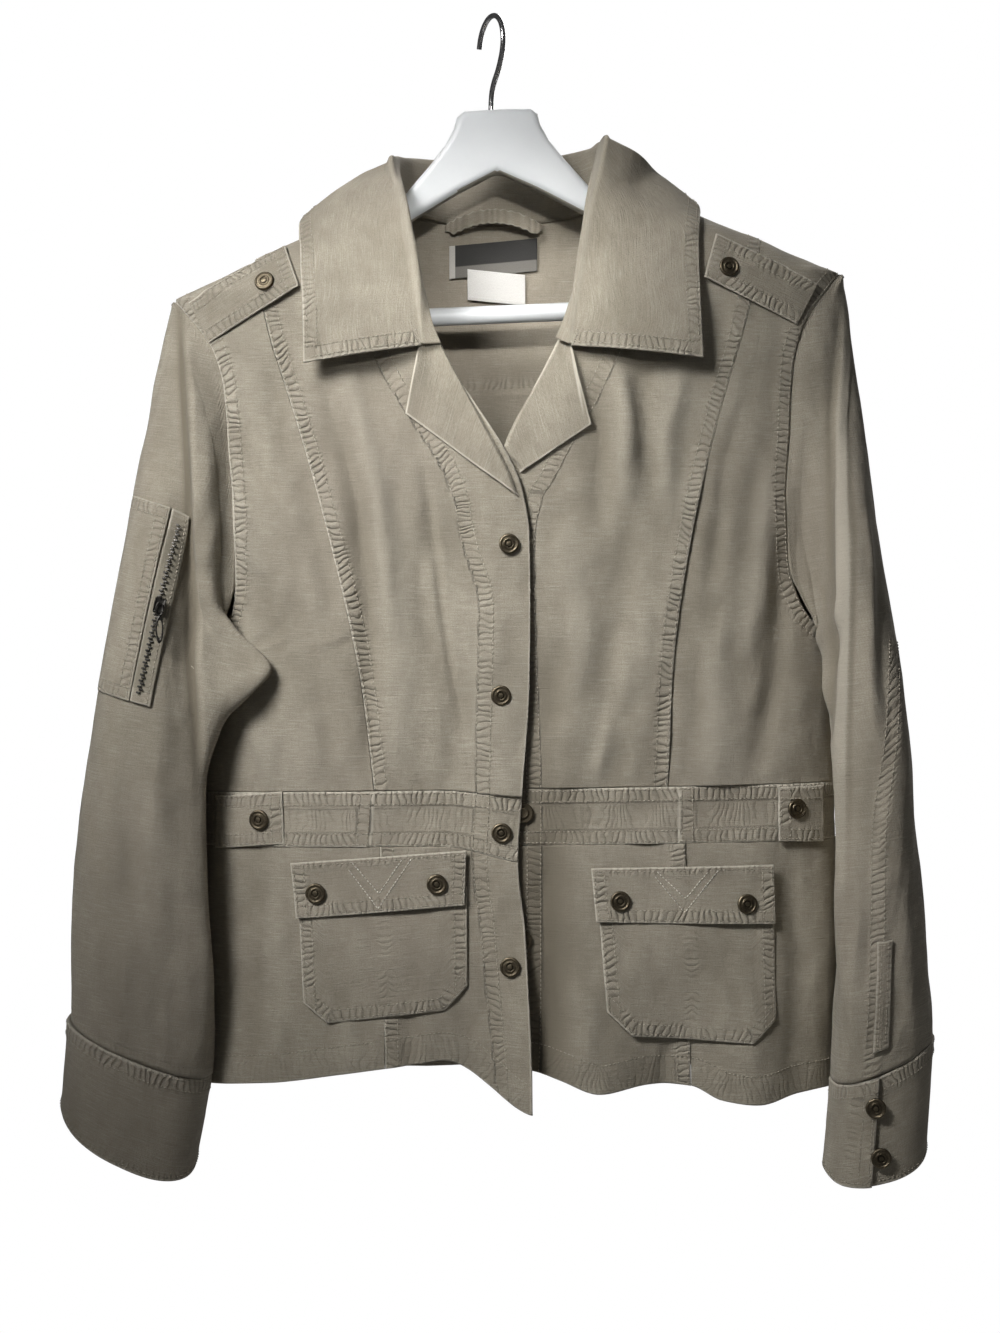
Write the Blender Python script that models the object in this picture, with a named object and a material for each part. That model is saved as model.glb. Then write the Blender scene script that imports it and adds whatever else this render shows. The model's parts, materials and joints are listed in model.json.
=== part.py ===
# Utility jacket hanging on a white hanger: cloth panels as thin sewn walls, open at neck, hem and cuffs.
# Metres, +Z up, front faces -Y, origin at the inside top of the hanger's hook.
# Suffix R is the wearer's right (image left, -X), L the wearer's left.

import math

import bmesh
import bpy
import numpy as np
from mathutils import Vector
from mathutils.bvhtree import BVHTree

WALL = 0.0016
CUFF_WALL = 0.0024
SEAM_GAP = 0.0004
TILT = 0.042
HEM_Z = -0.758
WAIST_TOP_Z = -0.549
WAIST_LOW_Z = -0.588
SHOULDER_TIP = (0.237, -0.193)
SHOULDER_SLOPE = 0.452
NECK_X = 0.084
UNDERARM_Z = -0.452
YOKE_Z = -0.262
BACK_NECK_Z = -0.140
LAP = 0.0040
DROOP = 0.037
LAPEL_LIFT = 0.0013
POCKET_LIFT = 0.0008
FLAP_LIFT = 0.0032
SNAP_RADIUS = 0.0070
SNAP_HEIGHT = 0.0026
WIRE_RADIUS = 0.0019
HOOK_INSIDE_RADIUS = 0.0195
HOOK_TURN = math.radians(66.0)
HANGER_HALF_THICKNESS = 0.0075
BAR_RADIUS = 0.0065
RING_POINTS = 28
BUNCH = 1.7


def columns(names, rows):
    return {name: np.array([row[i] for row in rows], float) for i, name in enumerate(names.split())}


# Level sections of the body: middle, half width, depth to front and back, squareness.
BODY = columns("z centre half_width front back square", (
    (-0.820, 0.0205, 0.2290, 0.060, 0.056, 2.6),
    (-0.700, 0.0210, 0.2270, 0.058, 0.054, 2.6),
    (-0.570, 0.0210, 0.2255, 0.055, 0.050, 2.6),
    (-0.452, 0.0170, 0.2270, 0.058, 0.052, 2.6),
    (-0.360, 0.0140, 0.2340, 0.058, 0.052, 2.6),
    (-0.260, 0.0125, 0.2360, 0.054, 0.050, 2.5),
    (-0.193, 0.0120, 0.2370, 0.050, 0.047, 2.4),
    (-0.120, 0.0115, 0.2370, 0.046, 0.043, 2.3),
))
ARMHOLE = columns("z x", (
    (-0.452, 0.2270), (-0.430, 0.2040), (-0.400, 0.1945), (-0.360, 0.1925),
    (-0.310, 0.1960), (-0.260, 0.1995), (-0.236, 0.2060), (-0.193, 0.2370),
))
PRINCESS = columns("z x", (
    (-0.549, 0.1020), (-0.464, 0.1095), (-0.377, 0.1250), (-0.290, 0.1475),
    (-0.226, 0.1670), (-0.166, 0.1800),
))
LOWER_SEAM = {"R": (0.098, 0.094), "L": (0.114, 0.118)}
FRONT_EDGE = {
    "R": columns("z x", (
        (-0.820, 0.0050), (-0.729, 0.0070), (-0.629, 0.0030), (-0.588, -0.0020), (-0.549, 0.0010),
        (-0.474, 0.0090), (-0.372, 0.0125), (-0.348, 0.0095), (-0.220, -0.0560), (-0.160, -0.0700),
        (-0.122, -0.0835),
    )),
    "L": columns("z x", (
        (-0.820, -0.0200), (-0.700, -0.0180), (-0.550, -0.0180), (-0.420, -0.0180), (-0.340, -0.0160),
        (-0.314, -0.0050), (-0.226, 0.0400), (-0.160, 0.0650), (-0.122, 0.0835),
    )),
}
HEM = {
    "R": columns("x z", (
        (-0.230, -0.7590), (-0.152, -0.7506), (-0.090, -0.7420), (-0.028, -0.7345), (0.020, -0.7345),
    )),
    "L": columns("x z", (
        (-0.030, -0.7400), (0.007, -0.7440), (0.028, -0.7500), (0.054, -0.7580), (0.090, -0.7530),
        (0.118, -0.7550), (0.139, -0.7640), (0.166, -0.7670), (0.194, -0.7615), (0.230, -0.7590),
    )),
}
# Soft vertical folds: face, top x and z, low x and z, half width, height out of the cloth.
FOLDS = (
    ("R", -0.122, -0.270, -0.086, -0.430, 0.018, 0.0040),
    ("R", -0.196, -0.440, -0.188, -0.545, 0.013, 0.0040),
    ("R", -0.030, -0.640, -0.028, -0.900, 0.028, -0.0120),
    ("R", 0.014, -0.600, 0.016, -0.900, 0.024, 0.0220),
    ("R", -0.165, -0.640, -0.170, -0.900, 0.030, 0.0070),
    ("L", -0.024, -0.640, -0.022, -0.900, 0.026, -0.0120),
    ("L", 0.062, -0.240, 0.092, -0.350, 0.016, 0.0055),
    ("L", 0.150, -0.300, 0.128, -0.450, 0.020, 0.0035),
    ("L", 0.053, -0.640, 0.054, -0.900, 0.028, 0.0120),
    ("L", 0.162, -0.630, 0.164, -0.900, 0.030, 0.0140),
    ("L", 0.108, -0.650, 0.110, -0.900, 0.018, -0.0060),
    ("B", -0.120, -0.300, -0.100, -0.540, 0.026, 0.0050),
    ("B", 0.060, -0.320, 0.080, -0.530, 0.030, 0.0055),
    ("B", 0.010, -0.600, 0.000, -0.900, 0.034, 0.0120),
    ("B", -0.140, -0.610, -0.150, -0.900, 0.034, 0.0130),
    ("B", 0.150, -0.610, 0.155, -0.900, 0.032, 0.0110),
    ("B", -0.070, -0.640, -0.075, -0.900, 0.026, -0.0070),
    ("B", 0.080, -0.640, 0.082, -0.900, 0.026, -0.0070),
)
# Rings of each sleeve after the armhole: both ends seen from the front, middle and half depth,
# bow towards the body, drop of the front, underarm fold, and a fold along the ring.
SLEEVE_NAMES = "outer_x outer_z inner_x inner_z middle_y depth bow drop wing ridge"
SLEEVE = {
    "R": columns(SLEEVE_NAMES, (
        (-0.2300, -0.2130, -0.2135, -0.4610, -0.001, 0.0390, 0.0320, 0.000, 0.010, 0.0020),
        (-0.2360, -0.2430, -0.2150, -0.4680, -0.004, 0.0430, 0.0265, 0.000, 0.032, 0.0040),
        (-0.2434, -0.2900, -0.2150, -0.4790, -0.009, 0.0455, 0.0205, 0.000, 0.056, -0.0055),
        (-0.2525, -0.3400, -0.2135, -0.4910, -0.014, 0.0470, 0.0150, 0.000, 0.048, -0.0015),
        (-0.2617, -0.3960, -0.2100, -0.5070, -0.018, 0.0475, 0.0100, 0.000, 0.024, 0.0010),
        (-0.2709, -0.4490, -0.2070, -0.5240, -0.022, 0.0470, 0.0050, 0.000, 0.006, 0.0),
        (-0.2779, -0.4950, -0.2045, -0.5440, -0.025, 0.0460, 0.0020, 0.000, 0.0, 0.0),
        (-0.2857, -0.5520, -0.2025, -0.5810, -0.028, 0.0440, 0.0, 0.000, 0.0, 0.0),
        (-0.2906, -0.6010, -0.2005, -0.6270, -0.030, 0.0430, 0.0, 0.000, 0.0, 0.0),
        (-0.2942, -0.6540, -0.1960, -0.6900, -0.031, 0.0410, 0.0, 0.003, 0.0, 0.0),
        (-0.2956, -0.7085, -0.1960, -0.7490, -0.031, 0.0370, 0.0, 0.006, 0.0, 0.0),
        (-0.3019, -0.7690, -0.2074, -0.8120, -0.031, 0.0360, 0.0, 0.018, 0.0, 0.0),
    )),
    "L": columns(SLEEVE_NAMES, (
        (0.2525, -0.1960, 0.2460, -0.4550, -0.001, 0.0390, 0.0350, 0.000, 0.004, -0.0010),
        (0.2575, -0.2330, 0.2490, -0.4640, -0.003, 0.0440, 0.0300, 0.000, 0.008, -0.0045),
        (0.2626, -0.2757, 0.2505, -0.4760, -0.007, 0.0490, 0.0230, 0.000, 0.010, -0.0040),
        (0.2683, -0.3253, 0.2510, -0.4890, -0.013, 0.0530, 0.0165, 0.000, 0.008, 0.0040),
        (0.2754, -0.3890, 0.2500, -0.5040, -0.020, 0.0560, 0.0105, 0.000, 0.004, 0.0025),
        (0.2824, -0.4527, 0.2490, -0.5210, -0.027, 0.0570, 0.0050, 0.000, 0.0, 0.0),
        (0.2880, -0.5050, 0.2480, -0.5440, -0.033, 0.0570, 0.0015, 0.000, 0.0, 0.0),
        (0.2925, -0.5550, 0.2470, -0.5890, -0.037, 0.0560, 0.0, 0.000, 0.0, 0.0),
        (0.2975, -0.6050, 0.2445, -0.6340, -0.039, 0.0540, 0.0, 0.000, 0.0, 0.0),
        (0.3037, -0.6650, 0.2415, -0.6940, -0.039, 0.0500, 0.0, 0.002, 0.0, 0.0),
        (0.3086, -0.7180, 0.2370, -0.7510, -0.038, 0.0440, 0.0, 0.004, 0.0, 0.0),
        (0.3037, -0.7960, 0.2320, -0.8130, -0.038, 0.0420, 0.0, 0.012, 0.0, 0.0),
    )),
}
CUFF_ROW = 11
# Collar rows, from the right tip round the back to the left tip: place on the neck seam
# (-1 to 1 round the back, beyond that down a front edge), roll line and outer edge.
COLLAR = columns("place roll_x roll_y roll_z edge_x edge_y edge_z", (
    (-2.00, -0.0475, -0.0600, -0.2385, -0.1290, -0.0600, -0.2545),
    (-1.66, -0.0530, -0.0560, -0.1900, -0.1300, -0.0560, -0.2120),
    (-1.31, -0.0605, -0.0450, -0.1440, -0.1330, -0.0350, -0.1720),
    (-1.00, -0.0690, -0.0040, -0.1030, -0.1330, -0.0080, -0.1450),
    (-0.75, -0.0610, 0.0260, -0.0950, -0.1130, 0.0420, -0.1450),
    (-0.40, -0.0350, 0.0420, -0.0930, -0.0640, 0.0600, -0.1620),
    (0.00, 0.0060, 0.0460, -0.0920, 0.0060, 0.0630, -0.1680),
    (0.40, 0.0460, 0.0420, -0.0900, 0.0780, 0.0600, -0.1570),
    (0.75, 0.0720, 0.0260, -0.0880, 0.1280, 0.0420, -0.1370),
    (1.00, 0.0790, -0.0040, -0.0920, 0.1470, -0.0080, -0.1350),
    (1.31, 0.0690, -0.0450, -0.1420, 0.1450, -0.0350, -0.1640),
    (1.66, 0.0620, -0.0560, -0.1880, 0.1445, -0.0560, -0.2060),
    (2.00, 0.0550, -0.0600, -0.2385, 0.1465, -0.0600, -0.2510),
))
GORGE_Z = -0.239
# Pieces lying on a front or a sleeve: four corners seen from the front, in order round the piece.
LAPEL = {
    "R": ((-0.0452, -0.2200), (-0.0500, -0.2430), (-0.0591, -0.2890), (0.0195, -0.3470)),
    "L": ((0.0530, -0.2260), (0.0560, -0.2430), (0.0698, -0.2965), (0.0200, -0.3300)),
}
EPAULETTE = {
    "R": ((-0.1440, -0.1690), (-0.1335, -0.1990), (-0.1970, -0.2370), (-0.2120, -0.2070)),
    "L": ((0.1570, -0.1620), (0.1480, -0.1930), (0.2100, -0.2225), (0.2260, -0.1925)),
}
SIDE_TAB = {
    "R": ((-0.1450, -0.5510), (-0.1436, -0.5875), (-0.1930, -0.5920), (-0.1935, -0.5550)),
    "L": ((0.2000, -0.5480), (0.2000, -0.5860), (0.2330, -0.5870), (0.2330, -0.5475)),
}
FLAP = {
    "R": ((-0.1385, -0.6006), (-0.1344, -0.6393), (-0.0177, -0.6289), (-0.0164, -0.5910)),
    "L": ((0.0692, -0.6034), (0.0726, -0.6406), (0.1968, -0.6434), (0.1961, -0.6020)),
}
POCKET = {
    "R": ((-0.1335, -0.6240), (-0.1290, -0.7130), (-0.0160, -0.7000), (-0.0164, -0.6160)),
    "L": ((0.0740, -0.6260), (0.0810, -0.7180), (0.1975, -0.7260), (0.1970, -0.6280)),
}
POCKET_CHAMFER = 0.016
SLEEVE_POCKET = ((-0.2480, -0.3460), (-0.2690, -0.4830), (-0.2480, -0.4880), (-0.2225, -0.3540))
ZIP_TAPE = ((-0.2215, -0.3545), (-0.2470, -0.4880), (-0.2330, -0.4920), (-0.2095, -0.3600))
ZIP_LINE = ((-0.2160, -0.3650), (-0.2405, -0.4830))
ZIP_SLIDER_AT = (-0.2278, -0.4230)
PLACKET = {
    "R": ((-0.2500, -0.6450), (-0.2500, -0.7150), (-0.2390, -0.7190), (-0.2400, -0.6480)),
    "L": ((0.2620, -0.6500), (0.2600, -0.7270), (0.2700, -0.7220), (0.2710, -0.6480)),
}
# Snaps: name, surface it sits on, x, z, and height of the pieces it is set into.
SNAPS = (
    ("snap_front_1", "R", 0.0126, -0.3794, 0.0006), ("snap_front_2", "R", 0.0071, -0.4839, 0.0006),
    ("snap_front_3", "R", 0.0075, -0.5789, 0.0006), ("snap_front_4", "R", 0.0135, -0.6710, 0.0006),
    ("snap_flap_R_1", "R", -0.1206, -0.6213, 0.0054), ("snap_flap_R_2", "R", -0.0371, -0.6144, 0.0054),
    ("snap_flap_L_1", "L", 0.0892, -0.6261, 0.0054), ("snap_flap_L_2", "L", 0.1768, -0.6289, 0.0054),
    ("snap_tab_R", "R", -0.1610, -0.5709, 0.0030), ("snap_tab_L", "L", 0.2130, -0.5633, 0.0030),
    ("snap_epaulette_R", "R", -0.1575, -0.1960, 0.0034),
    ("snap_epaulette_L", "L", 0.1655, -0.1860, 0.0034),
    ("stud_front_1", "L", 0.0165, -0.3800, 0.0005), ("stud_front_2", "L", 0.0165, -0.4850, 0.0005),
    ("stud_front_3", "L", 0.0225, -0.5654, 0.0005), ("stud_front_4", "L", 0.0215, -0.6531, 0.0005),
    ("snap_cuff_L_1", "cuff_L", 0.2625, -0.7640, 0.0044),
    ("snap_cuff_L_2", "cuff_L", 0.2655, -0.7980, 0.0041),
)
HOOK_STEM = ((0.0, -0.0790), (0.0, -0.0560), (0.0045, -0.0470), (0.0125, -0.0400), (0.0190, -0.0300))
# Half of the hanger's outline between its arms, upper then lower edge, from the middle outwards.
HANGER_TOP = ((0.0, -0.0655), (0.0240, -0.0660), (0.0290, -0.0700), (0.0310, -0.0780), (0.0370, -0.0890),
              (0.0480, -0.1030), (0.0620, -0.1190), (0.0720, -0.1310), (0.0840, -0.1395))
HANGER_LOW = ((0.0, -0.1105), (0.0280, -0.1240), (0.0620, -0.1430), (0.1200, -0.1720), (0.1720, -0.1960))
HANGER_FOOT = ((0.1830, -0.2030), (0.1860, -0.2250), (0.2050, -0.2250), (0.2120, -0.2050))

COLOURS = {
    "cloth": (0.34, 0.29, 0.20, 1.0),
    "inside": (0.30, 0.25, 0.17, 1.0),
    "label": (0.06, 0.06, 0.06, 1.0),
    "brass": (0.33, 0.27, 0.17, 1.0),
    "gunmetal": (0.10, 0.10, 0.10, 1.0),
    "steel": (0.55, 0.55, 0.56, 1.0),
    "white": (0.86, 0.86, 0.86, 1.0),
}

for old in list(bpy.data.objects):
    bpy.data.objects.remove(old, do_unlink=True)


def curve_at(xs, ys, at):
    """Smooth curve through table points that never overshoots them."""
    step = np.diff(xs)
    rise = np.diff(ys) / step
    slope = np.zeros(len(xs))
    same = rise[1:] * rise[:-1] > 0
    before, after = 2 * step[1:] + step[:-1], step[1:] + 2 * step[:-1]
    safe_low = np.where(same, rise[:-1], 1.0)
    safe_high = np.where(same, rise[1:], 1.0)
    slope[1:-1] = np.where(same, (before + after) / (before / safe_low + after / safe_high), 0.0)
    slope[0], slope[-1] = rise[0], rise[-1]
    at = np.clip(np.asarray(at, float), xs[0], xs[-1])
    i = np.clip(np.searchsorted(xs, at) - 1, 0, len(step) - 1)
    t = (at - xs[i]) / step[i]
    return (ys[i] * (1 + 2 * t) * (1 - t) ** 2 + ys[i + 1] * t * t * (3 - 2 * t)
            + step[i] * (slope[i] * t * (1 - t) ** 2 - slope[i + 1] * t * t * (1 - t)))


def ramp(low, high, at):
    t = np.clip((at - low) / (high - low), 0.0, 1.0)
    return t * t * (3 - 2 * t)


def section(z):
    part = {name: curve_at(BODY["z"], BODY[name], z) for name in ("centre", "half_width", "front", "back", "square")}
    shoulder = SHOULDER_TIP[0] - (z - SHOULDER_TIP[1]) / SHOULDER_SLOPE
    part["half_width"] = np.where(z > SHOULDER_TIP[1], shoulder, part["half_width"])
    return part


def shoulder_z(x):
    return SHOULDER_TIP[1] + (SHOULDER_TIP[0] - np.abs(x)) * SHOULDER_SLOPE


def around(x, z):
    """Place round the section, from -1 at the right seam to 1 at the left seam, for x off the middle."""
    part = section(z)
    share = np.clip(np.abs(x) / part["half_width"], 0.0, 1.0)
    return np.sign(x) * np.arcsin(share ** (part["square"] / 2)) * 2 / math.pi


def tilted(x, z):
    return z + TILT * x * ramp(HEM_Z, -0.25, z)


def body_point(w, z, face):
    """Point of the cloth at place w and height z; face is R or L front, or B for the back."""
    w, z = np.broadcast_arrays(np.asarray(w, float), np.asarray(z, float))
    part = section(z)
    power = 2 / part["square"]
    x = np.sign(w) * part["half_width"] * np.sin(math.pi / 2 * np.abs(w)) ** power
    out = np.cos(math.pi / 2 * np.clip(np.abs(w), 0, 1)) ** power
    depth = out * (part["back"] if face == "B" else part["front"])
    lower = z
    for side, top_x, top_z, low_x, low_z, half_width, height in FOLDS:
        if side != face:
            continue
        t = np.clip((z - top_z) / (low_z - top_z), 0.0, 1.0)
        envelope = np.sin(math.pi * t) if low_z > -0.82 else ramp(0.0, 0.55, t)
        depth = depth + height * envelope * np.exp(-((x - top_x - t * (low_x - top_x)) / half_width) ** 2)
    if face == "R":
        depth = depth + LAP * ramp(-0.045, -0.010, x) * ramp(-0.265, -0.315, z)
        lower = z - DROOP * ramp(-0.480, -0.760, z) * ramp(-0.058, 0.010, x)
    if face == "L":
        depth = depth - 0.0010 * ramp(0.045, 0.010, x) * ramp(-0.265, -0.315, z)
    y = depth if face == "B" else -depth
    return np.stack([part["centre"] + x, y, tilted(x, lower)], axis=-1)


def unit(v):
    return v / np.maximum(np.linalg.norm(v, axis=-1, keepdims=True), 1e-12)


def body_normal(w, z, face):
    w = np.clip(w, -0.994, 0.994)
    across = body_point(w + 0.003, z, face) - body_point(w - 0.003, z, face)
    up = body_point(w, z + 0.001, face) - body_point(w, z - 0.001, face)
    return unit(np.cross(across, up)) * (-1.0 if face == "B" else 1.0)


def trimmed(grid, by, sides):
    """Grid with its named borders drawn in, so that sewn pieces stay apart."""
    grid = grid.copy()
    if "left" in sides:
        grid[:, 0] += unit(grid[:, 1] - grid[:, 0]) * by
    if "right" in sides:
        grid[:, -1] += unit(grid[:, -2] - grid[:, -1]) * by
    if "low" in sides:
        grid[0] += unit(grid[1] - grid[0]) * by
    if "top" in sides:
        grid[-1] += unit(grid[-2] - grid[-1]) * by
    return grid


def material_named(name, colour, rough=0.85, metal=0.0):
    material = bpy.data.materials.new(name)
    material.use_nodes = True
    shader = material.node_tree.nodes["Principled BSDF"]
    shader.inputs["Base Color"].default_value = colour
    shader.inputs["Roughness"].default_value = rough
    shader.inputs["Metallic"].default_value = metal
    return material


def add_object(name, points, faces, colour, metal=0.0, at=(0.0, 0.0, 0.0)):
    mesh = bpy.data.meshes.new(name)
    moved = np.asarray(points, float).reshape(-1, 3) - np.asarray(at)
    mesh.from_pydata([tuple(p) for p in moved], [], [tuple(f) for f in faces])
    build = bmesh.new()
    build.from_mesh(mesh)
    bmesh.ops.recalc_face_normals(build, faces=build.faces)
    if build.calc_volume(signed=True) < 0:
        bmesh.ops.reverse_faces(build, faces=build.faces)
    build.to_mesh(mesh)
    build.free()
    made = bpy.data.objects.new(name, mesh)
    made.location = at
    bpy.context.scene.collection.objects.link(made)
    mesh.materials.append(material_named(name + "_surface", COLOURS[colour], 0.35 if metal else 0.85, metal))
    return made


def wall(name, outer, inner, colour="cloth", closed=False):
    """Closed thin wall between two grids of points; closed joins the last column to the first."""
    rows, cols = outer.shape[:2]
    index = np.arange(rows * cols).reshape(rows, cols)
    far = index + rows * cols
    faces = []
    spans = cols if closed else cols - 1
    for i in range(rows - 1):
        for j in range(spans):
            k = (j + 1) % cols
            faces.append((index[i, j], index[i, k], index[i + 1, k], index[i + 1, j]))
            faces.append((far[i, j], far[i + 1, j], far[i + 1, k], far[i, k]))
    for j in range(spans):
        k = (j + 1) % cols
        faces.append((index[0, j], far[0, j], far[0, k], index[0, k]))
        faces.append((index[-1, j], index[-1, k], far[-1, k], far[-1, j]))
    if not closed:
        for i in range(rows - 1):
            faces.append((index[i, 0], index[i + 1, 0], far[i + 1, 0], far[i, 0]))
            faces.append((index[i, -1], far[i, -1], far[i + 1, -1], index[i + 1, -1]))
    return add_object(name, np.concatenate([outer.reshape(-1, 3), inner.reshape(-1, 3)]), faces, colour)


def rows_to(count, bunch=1.0):
    """Shares from 0 to 1, drawn together towards 1 where bunch is over 1."""
    return 1 - (1 - np.linspace(0, 1, count)) ** bunch


def patch(left, right, low, top, bunch=1.0):
    """Grid filled between four border curves given as rows of (w, z)."""
    v = rows_to(len(left), bunch)[:, None, None]
    u = np.linspace(0, 1, len(low))[None, :, None]
    sides = (1 - u) * left[:, None] + u * right[:, None]
    ends = (1 - v) * low[None] + v * top[None]
    corners = ((1 - u) * (1 - v) * low[0] + u * (1 - v) * low[-1] + (1 - u) * v * top[0] + u * v * top[-1])
    return sides + ends - corners


def seam(table, low, top, count, sign=1.0, bunch=1.0):
    z = low + (top - low) * rows_to(count, bunch)
    return np.stack([around(sign * curve_at(table["z"], table["x"], z), z), z], axis=-1)


def side_line(w, low, top, count):
    return np.stack([np.full(count, float(w)), np.linspace(low, top, count)], axis=-1)


def level(x_from, x_to, height, count):
    """Border running across from one x to another at a height, or along a height curve."""
    x = np.linspace(x_from, x_to, count)
    z = height(x) if callable(height) else np.full(count, float(height))
    return np.stack([around(x, z), z], axis=-1)


def run(start, end, count):
    return np.linspace(np.asarray(start, float), np.asarray(end, float), count)


def panel(name, face, grid, gap_sides):
    w, z = grid[..., 0], grid[..., 1]
    outer = body_point(w, z, face)
    inner = outer - body_normal(w, z, face) * WALL
    half = SEAM_GAP / 2
    limit = half + 0.00002
    for part in (outer, inner):
        part[..., 1] = np.maximum(part[..., 1], limit) if face == "B" else np.minimum(part[..., 1], -limit)
    return wall(name, trimmed(outer, half, gap_sides), trimmed(inner, half, gap_sides))


def hem_z(side):
    return lambda x: curve_at(HEM[side]["x"], HEM[side]["z"], x)


def front_panels(side):
    sign = -1.0 if side == "R" else 1.0
    edge = FRONT_EDGE[side]
    edge_x = lambda z: float(curve_at(edge["z"], edge["x"], z))
    seam_x = lambda z: sign * float(curve_at(PRINCESS["z"], PRINCESS["x"], z))
    shoulder_seam_z = float(shoulder_z(PRINCESS["x"][-1]))
    neck_z = float(shoulder_z(NECK_X))
    tip_z = SHOULDER_TIP[1]

    def ordered(inner, outer, low, top, bunch=1.0):
        if side == "R":
            return patch(outer, inner, low[::-1], top[::-1], bunch)
        return patch(inner, outer, low, top, bunch)

    inner = seam(edge, WAIST_TOP_Z, neck_z, 20, bunch=BUNCH)
    inner[-1, 0] = sign
    outer = seam(PRINCESS, WAIST_TOP_Z, shoulder_seam_z, 20, sign, BUNCH)
    outer[-1, 0] = sign
    low = level(edge_x(WAIST_TOP_Z), seam_x(WAIST_TOP_Z), WAIST_TOP_Z, 9)
    top = run((sign, neck_z), (sign, shoulder_seam_z), 9)
    panel(f"front_centre_upper_{side}", side, ordered(inner, outer, low, top, BUNCH), "left right low top")

    share = rows_to(20, BUNCH)
    z = WAIST_TOP_Z + (tip_z - WAIST_TOP_Z) * share
    z[np.argmin(np.abs(z - UNDERARM_Z))] = UNDERARM_Z
    hole_x = curve_at(ARMHOLE["z"], ARMHOLE["x"], z)
    hole_w = np.where(z > UNDERARM_Z, around(hole_x, z), 1.0)
    hole_w[-1] = 1.0
    outer = np.stack([sign * hole_w, z], axis=-1)
    inner = seam(PRINCESS, WAIST_TOP_Z, shoulder_seam_z, 20, sign, BUNCH)
    inner[-1, 0] = sign
    low = level(seam_x(WAIST_TOP_Z), sign * float(section(WAIST_TOP_Z)["half_width"]), WAIST_TOP_Z, 7)
    low[-1, 0] = sign
    top = run((sign, shoulder_seam_z), (sign, tip_z), 7)
    panel(f"front_side_upper_{side}", side, ordered(inner, outer, low, top, BUNCH), "left right low top")

    inner = seam(edge, WAIST_LOW_Z, WAIST_TOP_Z, 3)
    outer = side_line(sign, WAIST_LOW_Z, WAIST_TOP_Z, 3)
    ends = []
    for z in (WAIST_LOW_Z, WAIST_TOP_Z):
        border = level(edge_x(z), sign * float(section(z)["half_width"]), z, 21)
        border[-1, 0] = sign
        ends.append(border)
    panel(f"waistband_front_{side}", side, ordered(inner, outer, *ends), "left right low top")

    top_x, low_x = (sign * x for x in LOWER_SEAM[side])
    hem_at = hem_z(side)
    end_z = float(hem_at(edge_x(-0.74)))
    inner = seam(edge, end_z, WAIST_LOW_Z, 8)
    seam_z = np.linspace(float(hem_at(low_x)), WAIST_LOW_Z, 8)
    middle = np.stack([around(np.linspace(low_x, top_x, 8), seam_z), seam_z], axis=-1)
    low = level(edge_x(end_z), low_x, hem_at, 12)
    top = level(edge_x(WAIST_LOW_Z), top_x, WAIST_LOW_Z, 12)
    panel(f"front_centre_lower_{side}", side, ordered(inner, middle, low, top), "left right top")

    side_hem = float(hem_at(sign * 0.226))
    outer = side_line(sign, side_hem, WAIST_LOW_Z, 8)
    low = level(low_x, sign * 0.2252, hem_at, 9)
    low[-1] = (sign, side_hem)
    top = level(top_x, sign * float(section(WAIST_LOW_Z)["half_width"]), WAIST_LOW_Z, 9)
    top[-1, 0] = sign
    panel(f"front_side_lower_{side}", side, ordered(middle, outer, low, top), "left right top")


def back_panels():
    tip_z, neck_z = SHOULDER_TIP[1], float(shoulder_z(NECK_X))
    count = 21
    fold = np.linspace(-1, 1, count)

    def across(z, reach):
        return np.stack([reach * fold, np.full(count, float(z))], axis=-1)

    hole = lambda z: float(around(curve_at(ARMHOLE["z"], ARMHOLE["x"], z) + 0.004, z))
    neck_x = NECK_X * fold
    neck_drop = BACK_NECK_Z + (neck_z - BACK_NECK_Z) * np.abs(fold) ** 3
    neck = np.stack([around(neck_x, neck_drop), neck_drop], axis=-1)
    neck[[0, -1], 0] = (-1, 1)
    z = np.linspace(YOKE_Z, tip_z, 5)
    hole_line = np.array([hole(h) for h in z])
    hole_line[-1] = 1.0
    shoulder = run((1, tip_z), (1, neck_z), 5)[1:]
    edge = np.concatenate([np.stack([hole_line, z], axis=-1), shoulder])
    mirrored = edge * (-1, 1)
    panel("back_yoke", "B", patch(mirrored, edge, across(YOKE_Z, hole(YOKE_Z)), neck), "left right low top")

    z = np.linspace(UNDERARM_Z, YOKE_Z, 9)
    hole_line = np.array([hole(h) for h in z])
    hole_line[0] = 1.0
    edge = np.concatenate([side_line(1, WAIST_TOP_Z, UNDERARM_Z, 5)[:-1], np.stack([hole_line, z], axis=-1)])
    mirrored = edge * (-1, 1)
    panel("back_upper", "B", patch(mirrored, edge, across(WAIST_TOP_Z, 1), across(YOKE_Z, hole(YOKE_Z))),
          "left right low top")
    for name, low, top, rows in (("waistband_back", WAIST_LOW_Z, WAIST_TOP_Z, 3),
                                 ("back_lower", -0.7588, WAIST_LOW_Z, 7)):
        edge = side_line(1, low, top, rows)
        sides = "left right low top" if name == "waistband_back" else "left right top"
        panel(name, "B", patch(edge * (-1, 1), edge, across(low, 1), across(top, 1)), sides)


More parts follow.
